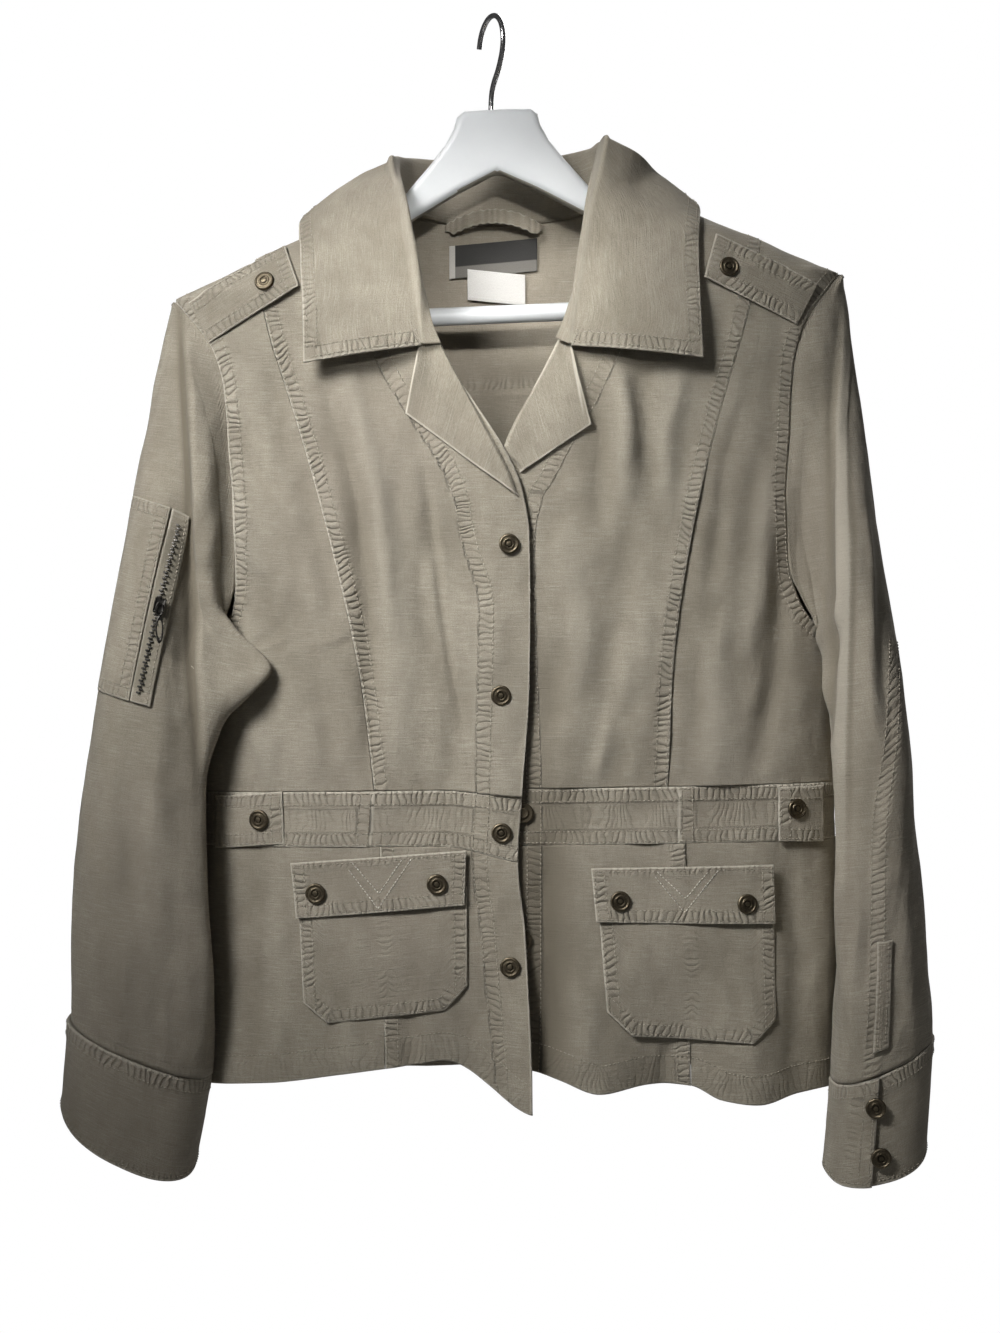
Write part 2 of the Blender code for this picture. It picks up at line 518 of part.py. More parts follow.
def clear_of_body(points, by):
    """Points pushed out of the body's section, so that a sleeve hangs just clear of it."""
    x, y, z = points[..., 0], points[..., 1], points[..., 2]
    off = x - section(z)["centre"]
    flat = z - TILT * off * ramp(HEM_Z, -0.25, z)
    part = section(flat)
    square = part["square"]
    wide, deep = part["half_width"] + by, np.where(y < 0, part["front"], part["back"]) + by
    inside = (np.abs(off) / wide) ** square + (np.abs(y) / deep) ** square
    push = np.where(inside < 1, np.maximum(inside, 1e-6) ** (-1 / square), 1.0)
    around_side = np.stack([part["centre"] + off * push, y * push, z], axis=-1)
    share = np.clip(np.abs(off) / wide, 0.0, 1.0)
    cloth_y = deep * (1 - share ** square) ** (1 / square)
    hole = curve_at(ARMHOLE["z"], ARMHOLE["x"], flat) + np.where(y < 0, 0.0, 0.004)
    near = ramp(0.012, 0.001, np.abs(off) - hole)
    over_seam = points.copy()
    over_seam[..., 1] += (np.sign(y) * np.maximum(np.abs(y), cloth_y) - y) * near
    below = ramp(UNDERARM_Z + 0.006, UNDERARM_Z - 0.008, flat)[..., None]
    return over_seam * (1 - below) + around_side * below


def sleeve_rings(side, points):
    """Rings of points from the armhole to the cuff's end, from the outer line by the front to the inner."""
    sign = -1.0 if side == "R" else 1.0
    angle = np.linspace(0, 2 * math.pi, points, endpoint=False)
    along, front = np.cos(angle), np.sin(angle)
    hole_z = UNDERARM_Z + (SHOULDER_TIP[1] - UNDERARM_Z) * (1 + along) / 2
    hole_x = curve_at(ARMHOLE["z"], ARMHOLE["x"], hole_z) + np.where(front < 0, 0.004, 0.0)
    hole_w = sign * np.where(np.abs(front) < 1e-6, 1.0, around(hole_x, hole_z))
    first = np.where((front >= 0)[:, None], body_point(hole_w, hole_z, side), body_point(hole_w, hole_z, "B"))
    first[:, 0] += sign * 2 * SEAM_GAP
    rings = [first]
    table = SLEEVE[side]
    for k in range(len(table["outer_x"])):
        row = {name: values[k] for name, values in table.items()}
        reach = np.sign(along) * np.abs(along) ** 0.85
        x = (row["outer_x"] * (1 + reach) + row["inner_x"] * (1 - reach)) / 2
        z = (row["outer_z"] * (1 + reach) + row["inner_z"] * (1 - reach)) / 2
        swell = np.abs(front) ** 0.85
        y = row["middle_y"] - np.sign(front) * row["depth"] * swell
        x = x - sign * row["bow"] * swell ** 2
        nose = np.exp(-((angle - math.radians(146)) / math.radians(19)) ** 2)
        x = x - sign * row["wing"] * nose
        y = y - 0.35 * row["wing"] * nose - row["ridge"] * np.where(front > 0, swell, 0.3 * swell)
        z = z - row["drop"] * front
        rings.append(np.stack([x, y, z], axis=-1))
    return np.array(rings)


def flowing(rings, at):
    """Rings read at places between the table's rows, along smooth lines."""
    at = np.asarray(at, float)
    k = np.clip(at.astype(int), 0, len(rings) - 2)
    t = (at - k)[:, None, None]
    p0, p1 = rings[np.maximum(k - 1, 0)], rings[k]
    p2, p3 = rings[k + 1], rings[np.minimum(k + 2, len(rings) - 1)]
    return 0.5 * (2 * p1 + (p2 - p0) * t + (2 * p0 - 5 * p1 + 4 * p2 - p3) * t ** 2
                  + (3 * p1 - p0 - 3 * p2 + p3) * t ** 3)


def ring_normals(rings, sign):
    around_ring = np.roll(rings, -1, axis=1) - np.roll(rings, 1, axis=1)
    along = np.gradient(rings, axis=0)
    return unit(np.cross(around_ring, along)) * sign


def sleeve_surface(side, at, points=RING_POINTS):
    rings = flowing(sleeve_rings(side, points), at)
    cleared = clear_of_body(rings, 0.0055)
    fade = ramp(0.0, 0.6, np.asarray(at, float))[:, None, None]
    return rings * (1 - fade) + cleared * fade


SLEEVE_PLACES = np.concatenate([np.arange(0, 6, 0.75), np.linspace(6, CUFF_ROW, 5)])


def sleeve(side):
    sign = -1.0 if side == "R" else 1.0
    outer = sleeve_surface(side, SLEEVE_PLACES)
    normal = ring_normals(outer, sign)
    outer[-1, :, 2] += SEAM_GAP / 2
    return wall(f"sleeve_{side}", outer, outer - normal * WALL, closed=True)


def spun(ring_grid, angle):
    """Points of closed rings read at any angle."""
    count = ring_grid.shape[1]
    place = np.asarray(angle) / (2 * math.pi) * count
    low = np.floor(place).astype(int)
    share = (place - low)[None, :, None]
    return ring_grid[:, low % count] * (1 - share) + ring_grid[:, (low + 1) % count] * share


def cuff(side):
    sign = -1.0 if side == "R" else 1.0
    rings = sleeve_surface(side, np.linspace(CUFF_ROW, CUFF_ROW + 1, 4), 96)
    normal = ring_normals(rings, sign)
    start = math.radians(100 if side == "L" else 262)
    turn = np.linspace(0, 2 * math.pi + math.radians(24), 34)
    lift = (CUFF_WALL + 0.0014) * ramp(math.radians(70), 0.0, turn)
    base = spun(rings, start + turn)
    out = unit(spun(normal, start + turn))
    outer = base + out * lift[None, :, None]
    outer[0, :, 2] -= 2 * SEAM_GAP
    return wall(f"cuff_{side}", outer, outer - out * CUFF_WALL)


def tree_of(grid, closed=False):
    rows, cols = grid.shape[:2]
    index = np.arange(rows * cols).reshape(rows, cols)
    spans = cols if closed else cols - 1
    faces = [(index[i, j], index[i, (j + 1) % cols], index[i + 1, (j + 1) % cols], index[i + 1, j])
             for i in range(rows - 1) for j in range(spans)]
    return BVHTree.FromPolygons([tuple(p) for p in grid.reshape(-1, 3)], faces)


def from_front(tree, x, z):
    """Points of a surface found straight in from the front, at each x and z."""
    found = np.empty(np.shape(x) + (3,))
    for place in np.ndindex(*np.shape(x)):
        hit = tree.ray_cast(Vector((x[place], -1.0, z[place])), Vector((0, 1, 0)))[0]
        if hit is None:
            hit = tree.find_nearest(Vector((x[place], -0.06, z[place])))[0]
        found[place] = hit
    return found


def grid_normals(points):
    normal = unit(np.cross(np.gradient(points, axis=1), np.gradient(points, axis=0)))
    return normal * np.where(normal[..., 1:2] > 0, -1.0, 1.0)


def corners_grid(corners, rows, cols):
    """Front-view grid between four corners named top first, low first, low last, top last."""
    top_a, low_a, low_b, top_b = (np.array(c) for c in corners)
    v = np.linspace(0, 1, rows)[:, None, None]
    u = np.linspace(0, 1, cols)[None, :, None]
    return (1 - v) * ((1 - u) * low_a + u * low_b) + v * ((1 - u) * top_a + u * top_b)


def laid(name, surface, grid, lift, thick, colour="cloth"):
    """Piece lying on a surface: its points found on the cloth and moved out."""
    base = from_front(surface, grid[..., 0], grid[..., 1])
    normal = grid_normals(base)
    lift = np.asarray(lift)[..., None] if np.ndim(lift) else lift
    return wall(name, base + normal * (lift + thick), base + normal * lift, colour)


def front_surfaces():
    trees = {}
    for side, w_from, w_to in (("R", -0.985, 0.25), ("L", -0.25, 0.985)):
        w = np.linspace(w_from, w_to, 90)[None, :]
        z = np.linspace(-0.80, -0.128, 110)[:, None]
        trees[side] = tree_of(body_point(w, z, side))
        trees["sleeve_" + side] = tree_of(sleeve_surface(side, SLEEVE_PLACES), True)
        trees["cuff_" + side] = tree_of(sleeve_surface(side, np.linspace(CUFF_ROW, CUFF_ROW + 1, 8), 72), True)
    return trees


def chamfered(corners, rows, cols, cut):
    """Pocket grid whose two low corners are cut off."""
    grid = corners_grid(corners, rows, cols)
    width = np.linalg.norm(np.subtract(corners[2], corners[1]))
    height = np.linalg.norm(np.subtract(corners[0], corners[1]))
    u = np.linspace(0, 1, cols)
    lost = np.maximum(0, cut / width - np.minimum(u, 1 - u)) * width / height
    v = np.linspace(0, 1, rows)[:, None] * (1 - lost)[None, :] + lost[None, :]
    top_a, low_a, low_b, top_b = (np.array(c) for c in corners)
    s = u[None, :, None]
    v = v[..., None]
    return (1 - v) * ((1 - s) * low_a + s * low_b) + v * ((1 - s) * top_a + s * top_b)


def neck_seam(place):
    """Inner face of the cloth along the neck seam, just clear of it."""
    neck_z = float(shoulder_z(NECK_X))
    if abs(place) <= 1:
        z = BACK_NECK_Z + (neck_z - BACK_NECK_Z) * abs(place) ** 3
        w = np.clip(around(NECK_X * place, z), -0.995, 0.995)
        return body_point(w, z, "B") - body_normal(w, z, "B") * WALL + (0, 0, 0.0009)
    side = "R" if place < 0 else "L"
    down = abs(place) - 1
    z = neck_z + (GORGE_Z - neck_z) * down
    x = float(curve_at(FRONT_EDGE[side]["z"], FRONT_EDGE[side]["x"], z))
    at = body_point(around(x, z), z, side)
    lift = 0.0050 * ramp(0.55, 0.90, down)
    return at + ((0.0014 if side == "R" else -0.0014), 0.0012 - lift, 0.0004)


def collar(trees):
    """Stand, roll and fall in one wall, from the right tip round the back of the neck to the left tip."""
    rows = len(COLLAR["place"])
    at = np.linspace(0, rows - 1, 29)
    lines = {part: np.stack([flowing(COLLAR[f"{part}_{axis}"][:, None, None], at)[:, 0, 0] for axis in "xyz"], -1)
             for part in ("roll", "edge")}
    roll, edge = lines["roll"], lines["edge"]
    place = np.interp(at, np.arange(rows), COLLAR["place"])
    neck = np.array([neck_seam(here) for here in place])
    away = unit((edge - neck) * (1, 1, 0))
    round_radius = 0.0036
    grid = []
    for t in np.linspace(0, 1, 4):
        inside = roll - away * round_radius
        grid.append(neck * (1 - t) + inside * t - (0, 0, 0.003 * t))
    for turn in np.linspace(150, 30, 3):
        over = away * math.cos(math.radians(turn)) + np.array((0, 0, 1.0)) * math.sin(math.radians(turn))
        grid.append(roll + over * round_radius - (0, 0, 0.003))
    for t in np.linspace(0, 1, 6):
        outside = roll + away * round_radius - (0, 0, 0.004)
        bulge = math.sin(math.pi * t)
        forward = -0.006 * bulge * ramp(0.5, 1.0, np.abs(np.linspace(-1, 1, len(at))))
        arch = 0.008 * bulge * np.exp(-((np.abs(place) - 1.12) / 0.22) ** 2)
        grid.append(outside * (1 - t) + edge * t + np.stack([0 * arch, forward, arch], -1))
    grid = np.array(grid)
    for i in range(len(grid)):
        for j in range(grid.shape[1]):
            x, y, z = grid[i, j]
            hit = trees["R" if x < 0.006 else "L"].ray_cast(Vector((x, -1.0, z)), Vector((0, 1, 0)))[0]
            off = x - float(section(z)["centre"])
            side_edge = FRONT_EDGE["R" if off < 0 else "L"]
            past_edge = abs(off) > abs(float(curve_at(side_edge["z"], side_edge["x"], z))) - 0.003
            if y < 0.0 and hit is not None and (i > 5 or (i > 0 and past_edge)):
                grid[i, j, 1] = min(y, hit[1] - (0.0046 if i > 5 else 0.0036))
    normal = unit(np.cross(np.gradient(grid, axis=1), np.gradient(grid, axis=0)))
    if normal[-1, len(at) // 2, 1] < 0:
        normal = -normal
    wall("collar", grid + normal * WALL, grid)


def disc(name, tree, x, z, lift, colour="brass"):
    """Snap cap: a low turned disc standing on the cloth, along its normal."""
    spot = from_front(tree, np.array([x, x + 0.003, x - 0.003, x, x]), np.array([z, z, z, z + 0.003, z - 0.003]))
    normal = unit(np.cross(spot[1] - spot[2], spot[3] - spot[4]))
    normal = normal if normal[1] < 0 else -normal
    side = unit(np.cross(normal, (0.0, 0.0, 1.0)))
    up = np.cross(side, normal)
    profile = ((1.0, 0.0), (1.0, 0.5), (0.72, 1.0))
    count = 12
    points = []
    for radius, height in profile:
        for i in range(count):
            turn = 2 * math.pi * i / count
            flat = (side * math.cos(turn) + up * math.sin(turn)) * radius * SNAP_RADIUS
            points.append(spot[0] + flat + normal * (lift + height * SNAP_HEIGHT))
    faces = [tuple(range(count))[::-1], tuple(range(2 * count, 3 * count))]
    for k in range(len(profile) - 1):
        for i in range(count):
            j = (i + 1) % count
            faces.append((k * count + i, k * count + j, (k + 1) * count + j, (k + 1) * count + i))
    add_object(name, points, faces, colour, 1.0)
    return spot[0], normal


def tube(name, path, radius, sides, colour, metal):
    """Round rod swept along a path, with flat ends."""
    path = np.asarray(path, float)
    tangent = unit(np.gradient(path, axis=0))
    side = unit(np.cross(tangent[0], (0.31, 0.92, 0.17)))
    points, faces = [], []
    for k, centre in enumerate(path):
        side = unit(side - tangent[k] * np.dot(side, tangent[k]))
        other = np.cross(tangent[k], side)
        for i in range(sides):
            turn = 2 * math.pi * i / sides
            points.append(centre + radius * (side * math.cos(turn) + other * math.sin(turn)))
    for k in range(len(path) - 1):
        for i in range(sides):
            j = (i + 1) % sides
            faces.append((k * sides + i, k * sides + j, (k + 1) * sides + j, (k + 1) * sides + i))
    faces.append(tuple(range(sides))[::-1])
    faces.append(tuple(range((len(path) - 1) * sides, len(path) * sides)))
    return add_object(name, points, faces, colour, metal)


def hanger():
    middle = 0.0045

    def arm_top(x):
        off = x - 0.0118
        return shoulder_z(off) + TILT * off - (WALL + 0.0013) / math.cos(math.atan(SHOULDER_SLOPE))

    def leaned(x, z):
        return (x + middle, z + TILT * x)

    upper, lower = [], []
    for sign in (-1, 1):
        half_top = [leaned(sign * x, z) for x, z in HANGER_TOP]
        arm = [(sign * x, float(arm_top(sign * x))) for x in (0.100, 0.120, 0.150, 0.180, 0.198, 0.208)]
        foot = [leaned(sign * x, z) for x, z in HANGER_FOOT[::-1]]
        half_low = [leaned(sign * x, z) for x, z in HANGER_LOW[::-1]]
        upper.append(half_top + arm)
        lower.append(foot + half_low)
    outline = upper[1] + lower[1] + lower[0][::-1][1:] + upper[0][::-1][:-1]
    build = bmesh.new()
    ring = [build.verts.new((x, -HANGER_HALF_THICKNESS, z)) for x, z in outline]
    face = build.faces.new(ring)
    extra = bmesh.ops.extrude_face_region(build, geom=[face])
    moved = [part for part in extra["geom"] if isinstance(part, bmesh.types.BMVert)]
    bmesh.ops.translate(build, verts=moved, vec=(0, 2 * HANGER_HALF_THICKNESS, 0))
    bmesh.ops.recalc_face_normals(build, faces=build.faces)
    mesh = bpy.data.meshes.new("hanger_body")
    build.to_mesh(mesh)
    build.free()
    body = bpy.data.objects.new("hanger_body", mesh)
    bpy.context.scene.collection.objects.link(body)
    mesh.materials.append(material_named("hanger_body_surface", COLOURS["white"], 0.45))
    soften = body.modifiers.new("soft_edges", "BEVEL")
    soften.width = 0.0050
    soften.segments = 1
    soften.limit_method = "ANGLE"
    soften.angle_limit = math.radians(50)
    ends = [leaned(x, -0.2118) for x in (-0.1812, 0.1812)]
    tube("hanger_bar", [(ends[0][0], 0, ends[0][1]), (ends[1][0], 0, ends[1][1])], BAR_RADIUS, 14, "white", 0.0)

    radius = HOOK_INSIDE_RADIUS + WIRE_RADIUS
    flat = [(h, z) for h, z in HOOK_STEM]
    flat[0] = (0.0, -0.0652)
    for turn in np.linspace(-10, 172, 16):
        flat.append((radius * math.cos(math.radians(turn)),
                     -HOOK_INSIDE_RADIUS + radius * math.sin(math.radians(turn))))
    path = [(h * math.cos(HOOK_TURN), -h * math.sin(HOOK_TURN), z) for h, z in flat]
    tube("hanger_hook", path, WIRE_RADIUS, 8, "steel", 1.0)


def oriented_box(name, centre, axes, size, colour, at=None, metal=1.0):
    """Small block with its own axes: along, across and out of the cloth."""
    points = []
    for c in (-0.5, 0.5):
        for b, a in ((-0.5, -0.5), (-0.5, 0.5), (0.5, 0.5), (0.5, -0.5)):
            points.append(centre + axes[0] * a * size[0] + axes[1] * b * size[1] + axes[2] * c * size[2])
    faces = ((3, 2, 1, 0), (4, 5, 6, 7), (0, 1, 5, 4), (1, 2, 6, 5), (2, 3, 7, 6), (3, 0, 4, 7))
    return add_object(name, points, faces, colour, metal, centre if at is None else at)


def sleeve_zip(trees):
    surface = trees["sleeve_R"]
    laid("sleeve_pocket", surface, corners_grid(SLEEVE_POCKET, 13, 6), 0.0010, WALL)
    laid("zip_tape", surface, corners_grid(ZIP_TAPE, 13, 4), 0.0010, 0.0014)
    x = np.linspace(ZIP_LINE[0][0], ZIP_LINE[1][0], 12)
    z = np.linspace(ZIP_LINE[0][1], ZIP_LINE[1][1], 12)
    base = from_front(surface, x, z)
    spot_x = np.array([ZIP_SLIDER_AT[0], ZIP_SLIDER_AT[0] + 0.004, ZIP_SLIDER_AT[0] - 0.004])
    spot = from_front(surface, spot_x, np.full(3, ZIP_SLIDER_AT[1]))
    along = unit(base[-1] - base[0])
    out = unit(np.cross(spot[1] - spot[2], along))
    out = out if out[1] < 0 else -out
    across = np.cross(out, along)
    axes = (along, across, out)
    ends = np.array([-0.0022, 0.0022])
    row = np.stack([base + across * e for e in ends], axis=1)
    wall("zip_teeth", row + out * 0.0048, row + out * 0.0032, "gunmetal")
    oriented_box("zip_slider", spot[0] + out * 0.0069, axes, (0.0110, 0.0080, 0.0030), "gunmetal")
    hinge = unit(np.cross(out, (0.0, 0.0, 1.0)))
    down = np.cross(hinge, out)
    down = down if down[2] < 0 else -down
    pivot = spot[0] + out * 0.0098
    pull = pivot + down * 0.0125
    oriented_box("zip_pull", pull, (down, hinge, out), (0.0260, 0.0050, 0.0016), "gunmetal", pivot)
    return pivot, hinge


def hanger_loop():
    """Gathered hanging loop below the back neck seam, inside the yoke."""
    x = np.linspace(-0.030, 0.030, 12)[None, :]
    u = np.linspace(-1, 1, 12)[None, :]
    v = np.linspace(0, 1, 4)[:, None]
    z = -0.1405 + 0.0100 * (1 - u ** 2) - 0.0075 * (1 - v) + 0 * x
    y = 0.0390 - 0.0120 * (1 - u ** 2) ** 0.7 + 0 * v
    grid = np.stack([x + 0.002 + 0 * v, y, z], axis=-1)
    wall("hanger_loop", grid, grid + np.array((0.0, WALL, 0.0)), "inside")


def inside_label(name, x_from, x_to, low, top, colour, lift):
    """Plain blank label on the inside of the back."""
    x = np.linspace(x_from, x_to, 7)[None, :]
    z = np.linspace(low, top, 3)[:, None]
    x, z = np.broadcast_arrays(x, z)
    w = around(x, z)
    base = body_point(w, z, "B")
    inward = -body_normal(w, z, "B")
    wall(name, base + inward * (WALL + lift), base + inward * (WALL + lift + 0.0011), colour)


for side_name in ("R", "L"):
    front_panels(side_name)
    sleeve(side_name)
    cuff(side_name)
back_panels()
surfaces = front_surfaces()
for side_name in ("R", "L"):
    front = surfaces[side_name]
    lapel_grid = corners_grid(LAPEL[side_name], 9, 6)
    laid(f"lapel_{side_name}", front, lapel_grid, LAPEL_LIFT, WALL)
    laid(f"epaulette_{side_name}", front, corners_grid(EPAULETTE[side_name], 5, 8), 0.0013, WALL)
    laid(f"side_tab_{side_name}", front, corners_grid(SIDE_TAB[side_name], 4, 7), 0.0008, WALL)
    laid(f"pocket_{side_name}", front, chamfered(POCKET[side_name], 8, 10, POCKET_CHAMFER), POCKET_LIFT, WALL)
    laid(f"flap_{side_name}", front, corners_grid(FLAP[side_name], 5, 10), FLAP_LIFT, WALL)
laid("sleeve_placket_L", surfaces["sleeve_L"], corners_grid(PLACKET["L"], 7, 3), 0.0010, WALL)
collar(surfaces)
for snap_name, surface_name, snap_x, snap_z, snap_lift in SNAPS:
    disc(snap_name, surfaces[surface_name], snap_x, snap_z, snap_lift)
sleeve_zip(surfaces)
hanger_loop()
inside_label("neck_label", -0.0385, 0.0220, -0.1755, -0.1515, "label", 0.0008)
inside_label("care_tag", -0.0295, 0.0130, -0.1960, -0.1735, "white", 0.0026)
hanger()
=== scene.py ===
# Looks of the utility jacket on its hanger: sewn cloth, stitches, snaps, zip, labels, light and camera.
# Metres, +Z up, front faces -Y. R is the wearer's right (image left), L the wearer's left.
import json
import math

import bmesh
import bpy
import numpy as np
from mathutils import Matrix, Vector
from mathutils.bvhtree import BVHTree

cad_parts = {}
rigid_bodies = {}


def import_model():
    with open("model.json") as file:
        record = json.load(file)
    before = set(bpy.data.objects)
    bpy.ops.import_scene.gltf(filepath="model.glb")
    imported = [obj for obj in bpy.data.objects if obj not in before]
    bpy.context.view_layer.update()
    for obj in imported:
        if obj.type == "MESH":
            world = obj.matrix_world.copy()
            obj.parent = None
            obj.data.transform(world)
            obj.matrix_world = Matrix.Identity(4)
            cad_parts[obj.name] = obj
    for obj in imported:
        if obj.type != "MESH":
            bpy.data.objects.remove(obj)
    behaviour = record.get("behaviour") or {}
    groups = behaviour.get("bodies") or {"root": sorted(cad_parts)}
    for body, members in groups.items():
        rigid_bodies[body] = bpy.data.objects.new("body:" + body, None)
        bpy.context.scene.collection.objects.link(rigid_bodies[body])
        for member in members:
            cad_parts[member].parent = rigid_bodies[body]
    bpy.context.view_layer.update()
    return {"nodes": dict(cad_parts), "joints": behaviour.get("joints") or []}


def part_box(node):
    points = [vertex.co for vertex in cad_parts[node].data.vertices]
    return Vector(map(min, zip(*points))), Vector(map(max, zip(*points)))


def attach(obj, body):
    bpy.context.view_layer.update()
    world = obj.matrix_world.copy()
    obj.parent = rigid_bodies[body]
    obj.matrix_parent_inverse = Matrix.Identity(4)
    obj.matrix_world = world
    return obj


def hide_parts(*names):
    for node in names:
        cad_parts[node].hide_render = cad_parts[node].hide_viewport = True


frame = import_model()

bpy.ops.object.select_all(action="DESELECT")
nodes = frame["nodes"]
stitches = {}
print("frame loaded:", len(nodes), "nodes")


def columns(names, rows):
    return {name: np.array([row[i] for row in rows], float) for i, name in enumerate(names.split())}


# The body's cut: level sections, seam lines and soft folds, the same sizes as the solids.
body = {
    "tilt": 0.042,
    "hemZ": -0.758,
    "backHemZ": -0.7588,
    "waistTop": -0.549,
    "waistLow": -0.588,
    "shoulderTip": (0.237, -0.193),
    "shoulderSlope": 0.452,
    "neckX": 0.084,
    "underarm": -0.452,
    "yoke": -0.262,
    "backNeck": -0.14,
    "lap": 0.004,
    "droop": 0.037,
    "wall": 0.0013,
    "gap": 0.00012,
    "section": columns("z centre halfWidth front back square", (
        (-0.82, 0.0205, 0.229, 0.06, 0.056, 2.6),
        (-0.7, 0.021, 0.227, 0.058, 0.054, 2.6),
        (-0.57, 0.021, 0.2255, 0.055, 0.05, 2.6),
        (-0.452, 0.017, 0.227, 0.058, 0.052, 2.6),
        (-0.36, 0.014, 0.234, 0.058, 0.052, 2.6),
        (-0.26, 0.0125, 0.236, 0.054, 0.05, 2.5),
        (-0.193, 0.012, 0.237, 0.05, 0.047, 2.4),
        (-0.12, 0.0115, 0.237, 0.046, 0.043, 2.3),
    )),
    "armhole": columns("z x", (
        (-0.452, 0.227), (-0.43, 0.204), (-0.4, 0.1945), (-0.36, 0.1925),
        (-0.31, 0.196), (-0.26, 0.1995), (-0.236, 0.206), (-0.193, 0.237),
    )),
    "princess": columns("z x", (
        (-0.549, 0.102), (-0.464, 0.1095), (-0.377, 0.125), (-0.29, 0.1475),
        (-0.226, 0.167), (-0.166, 0.18),
    )),
    "lowerSeam": {"R": (0.098, 0.094), "L": (0.114, 0.118)},
    "frontEdge": {
        "R": columns("z x", (
            (-0.82, 0.005), (-0.729, 0.007), (-0.629, 0.003), (-0.588, -0.002), (-0.549, 0.001),
            (-0.474, 0.009), (-0.372, 0.0125), (-0.348, 0.0095), (-0.22, -0.056), (-0.16, -0.07),
            (-0.122, -0.0835),
        )),
        "L": columns("z x", (
            (-0.82, -0.02), (-0.7, -0.018), (-0.55, -0.018), (-0.42, -0.018), (-0.34, -0.016),
            (-0.314, -0.005), (-0.226, 0.04), (-0.16, 0.065), (-0.122, 0.0835),
        )),
    },
    "hem": {
        "R": columns("x z", (
            (-0.23, -0.759), (-0.152, -0.7506), (-0.09, -0.742), (-0.028, -0.7345), (0.02, -0.7345),
        )),
        "L": columns("x z", (
            (-0.03, -0.74), (0.007, -0.744), (0.028, -0.75), (0.054, -0.758), (0.09, -0.753),
            (0.118, -0.755), (0.139, -0.764), (0.166, -0.767), (0.194, -0.7615), (0.23, -0.759),
        )),
    },
    # face, top x and z, low x and z, half width, height
    "folds": (
        ("R", -0.122, -0.27, -0.086, -0.43, 0.018, 0.004),
        ("R", -0.196, -0.44, -0.188, -0.545, 0.013, 0.004),
        ("R", -0.03, -0.64, -0.028, -0.9, 0.028, -0.012),
        ("R", 0.014, -0.6, 0.016, -0.9, 0.024, 0.022),
        ("R", -0.165, -0.64, -0.17, -0.9, 0.03, 0.007),
        ("L", -0.024, -0.64, -0.022, -0.9, 0.026, -0.012),
        ("L", 0.062, -0.24, 0.092, -0.35, 0.016, 0.0055),
        ("L", 0.15, -0.3, 0.128, -0.45, 0.02, 0.0035),
        ("L", 0.053, -0.64, 0.054, -0.9, 0.028, 0.012),
        ("L", 0.162, -0.63, 0.164, -0.9, 0.03, 0.014),
        ("L", 0.108, -0.65, 0.11, -0.9, 0.018, -0.006),
        ("B", -0.12, -0.3, -0.1, -0.54, 0.026, 0.005),
        ("B", 0.06, -0.32, 0.08, -0.53, 0.03, 0.0055),
        ("B", 0.01, -0.6, 0.0, -0.9, 0.034, 0.012),
        ("B", -0.14, -0.61, -0.15, -0.9, 0.034, 0.013),
        ("B", 0.15, -0.61, 0.155, -0.9, 0.032, 0.011),
        ("B", -0.07, -0.64, -0.075, -0.9, 0.026, -0.007),
        ("B", 0.08, -0.64, 0.082, -0.9, 0.026, -0.007),
    ),
}


def smoothCurve(xs, ys, at):
    # monotone cubic through the table, never past its points
    step = np.diff(xs)
    rise = np.diff(ys) / step
    slope = np.zeros(len(xs))
    same = rise[1:] * rise[:-1] > 0
    before, after = 2 * step[1:] + step[:-1], step[1:] + 2 * step[:-1]
    lowRise = np.where(same, rise[:-1], 1.0)
    highRise = np.where(same, rise[1:], 1.0)
    slope[1:-1] = np.where(same, (before + after) / (before / lowRise + after / highRise), 0.0)
    slope[0], slope[-1] = rise[0], rise[-1]
    at = np.clip(np.asarray(at, float), xs[0], xs[-1])
    i = np.clip(np.searchsorted(xs, at) - 1, 0, len(step) - 1)
    t = (at - xs[i]) / step[i]
    return (ys[i] * (1 + 2 * t) * (1 - t) ** 2 + ys[i + 1] * t * t * (3 - 2 * t)
            + step[i] * (slope[i] * t * (1 - t) ** 2 - slope[i + 1] * t * t * (1 - t)))


def lineAt(table, z, what="x"):
    return smoothCurve(table["z"], table[what], z)


def ramp(low, high, at):
    t = np.clip((at - low) / (high - low), 0.0, 1.0)
    return t * t * (3 - 2 * t)


def unit(v):
    return v / np.maximum(np.linalg.norm(v, axis=-1, keepdims=True), 1e-12)


def ripple(a, b, seed):
    # smooth seeded noise from -1 to 1 on a lattice
    heights = np.random.default_rng(seed).uniform(-1, 1, (64, 64))
    a, b = np.broadcast_arrays(np.asarray(a, float), np.asarray(b, float))
    i, j = np.floor(a).astype(int), np.floor(b).astype(int)
    s, t = a - i, b - j
    s, t = s * s * (3 - 2 * s), t * t * (3 - 2 * t)
    i0, i1, j0, j1 = i % 64, (i + 1) % 64, j % 64, (j + 1) % 64
    return ((heights[i0, j0] * (1 - s) + heights[i1, j0] * s) * (1 - t)
            + (heights[i0, j1] * (1 - s) + heights[i1, j1] * s) * t)


def section(z):
    cut = body["section"]
    part = {name: lineAt(cut, z, name) for name in cut if name != "z"}
    tipX, tipZ = body["shoulderTip"]
    part["halfWidth"] = np.where(z > tipZ, tipX - (z - tipZ) / body["shoulderSlope"], part["halfWidth"])
    return part


def shoulderZ(x):
    tipX, tipZ = body["shoulderTip"]
    return tipZ + (tipX - np.abs(x)) * body["shoulderSlope"]


def around(x, z):
    part = section(z)
    share = np.clip(np.abs(x) / part["halfWidth"], 0.0, 1.0)
    return np.sign(x) * np.arcsin(share ** (part["square"] / 2)) * 2 / math.pi


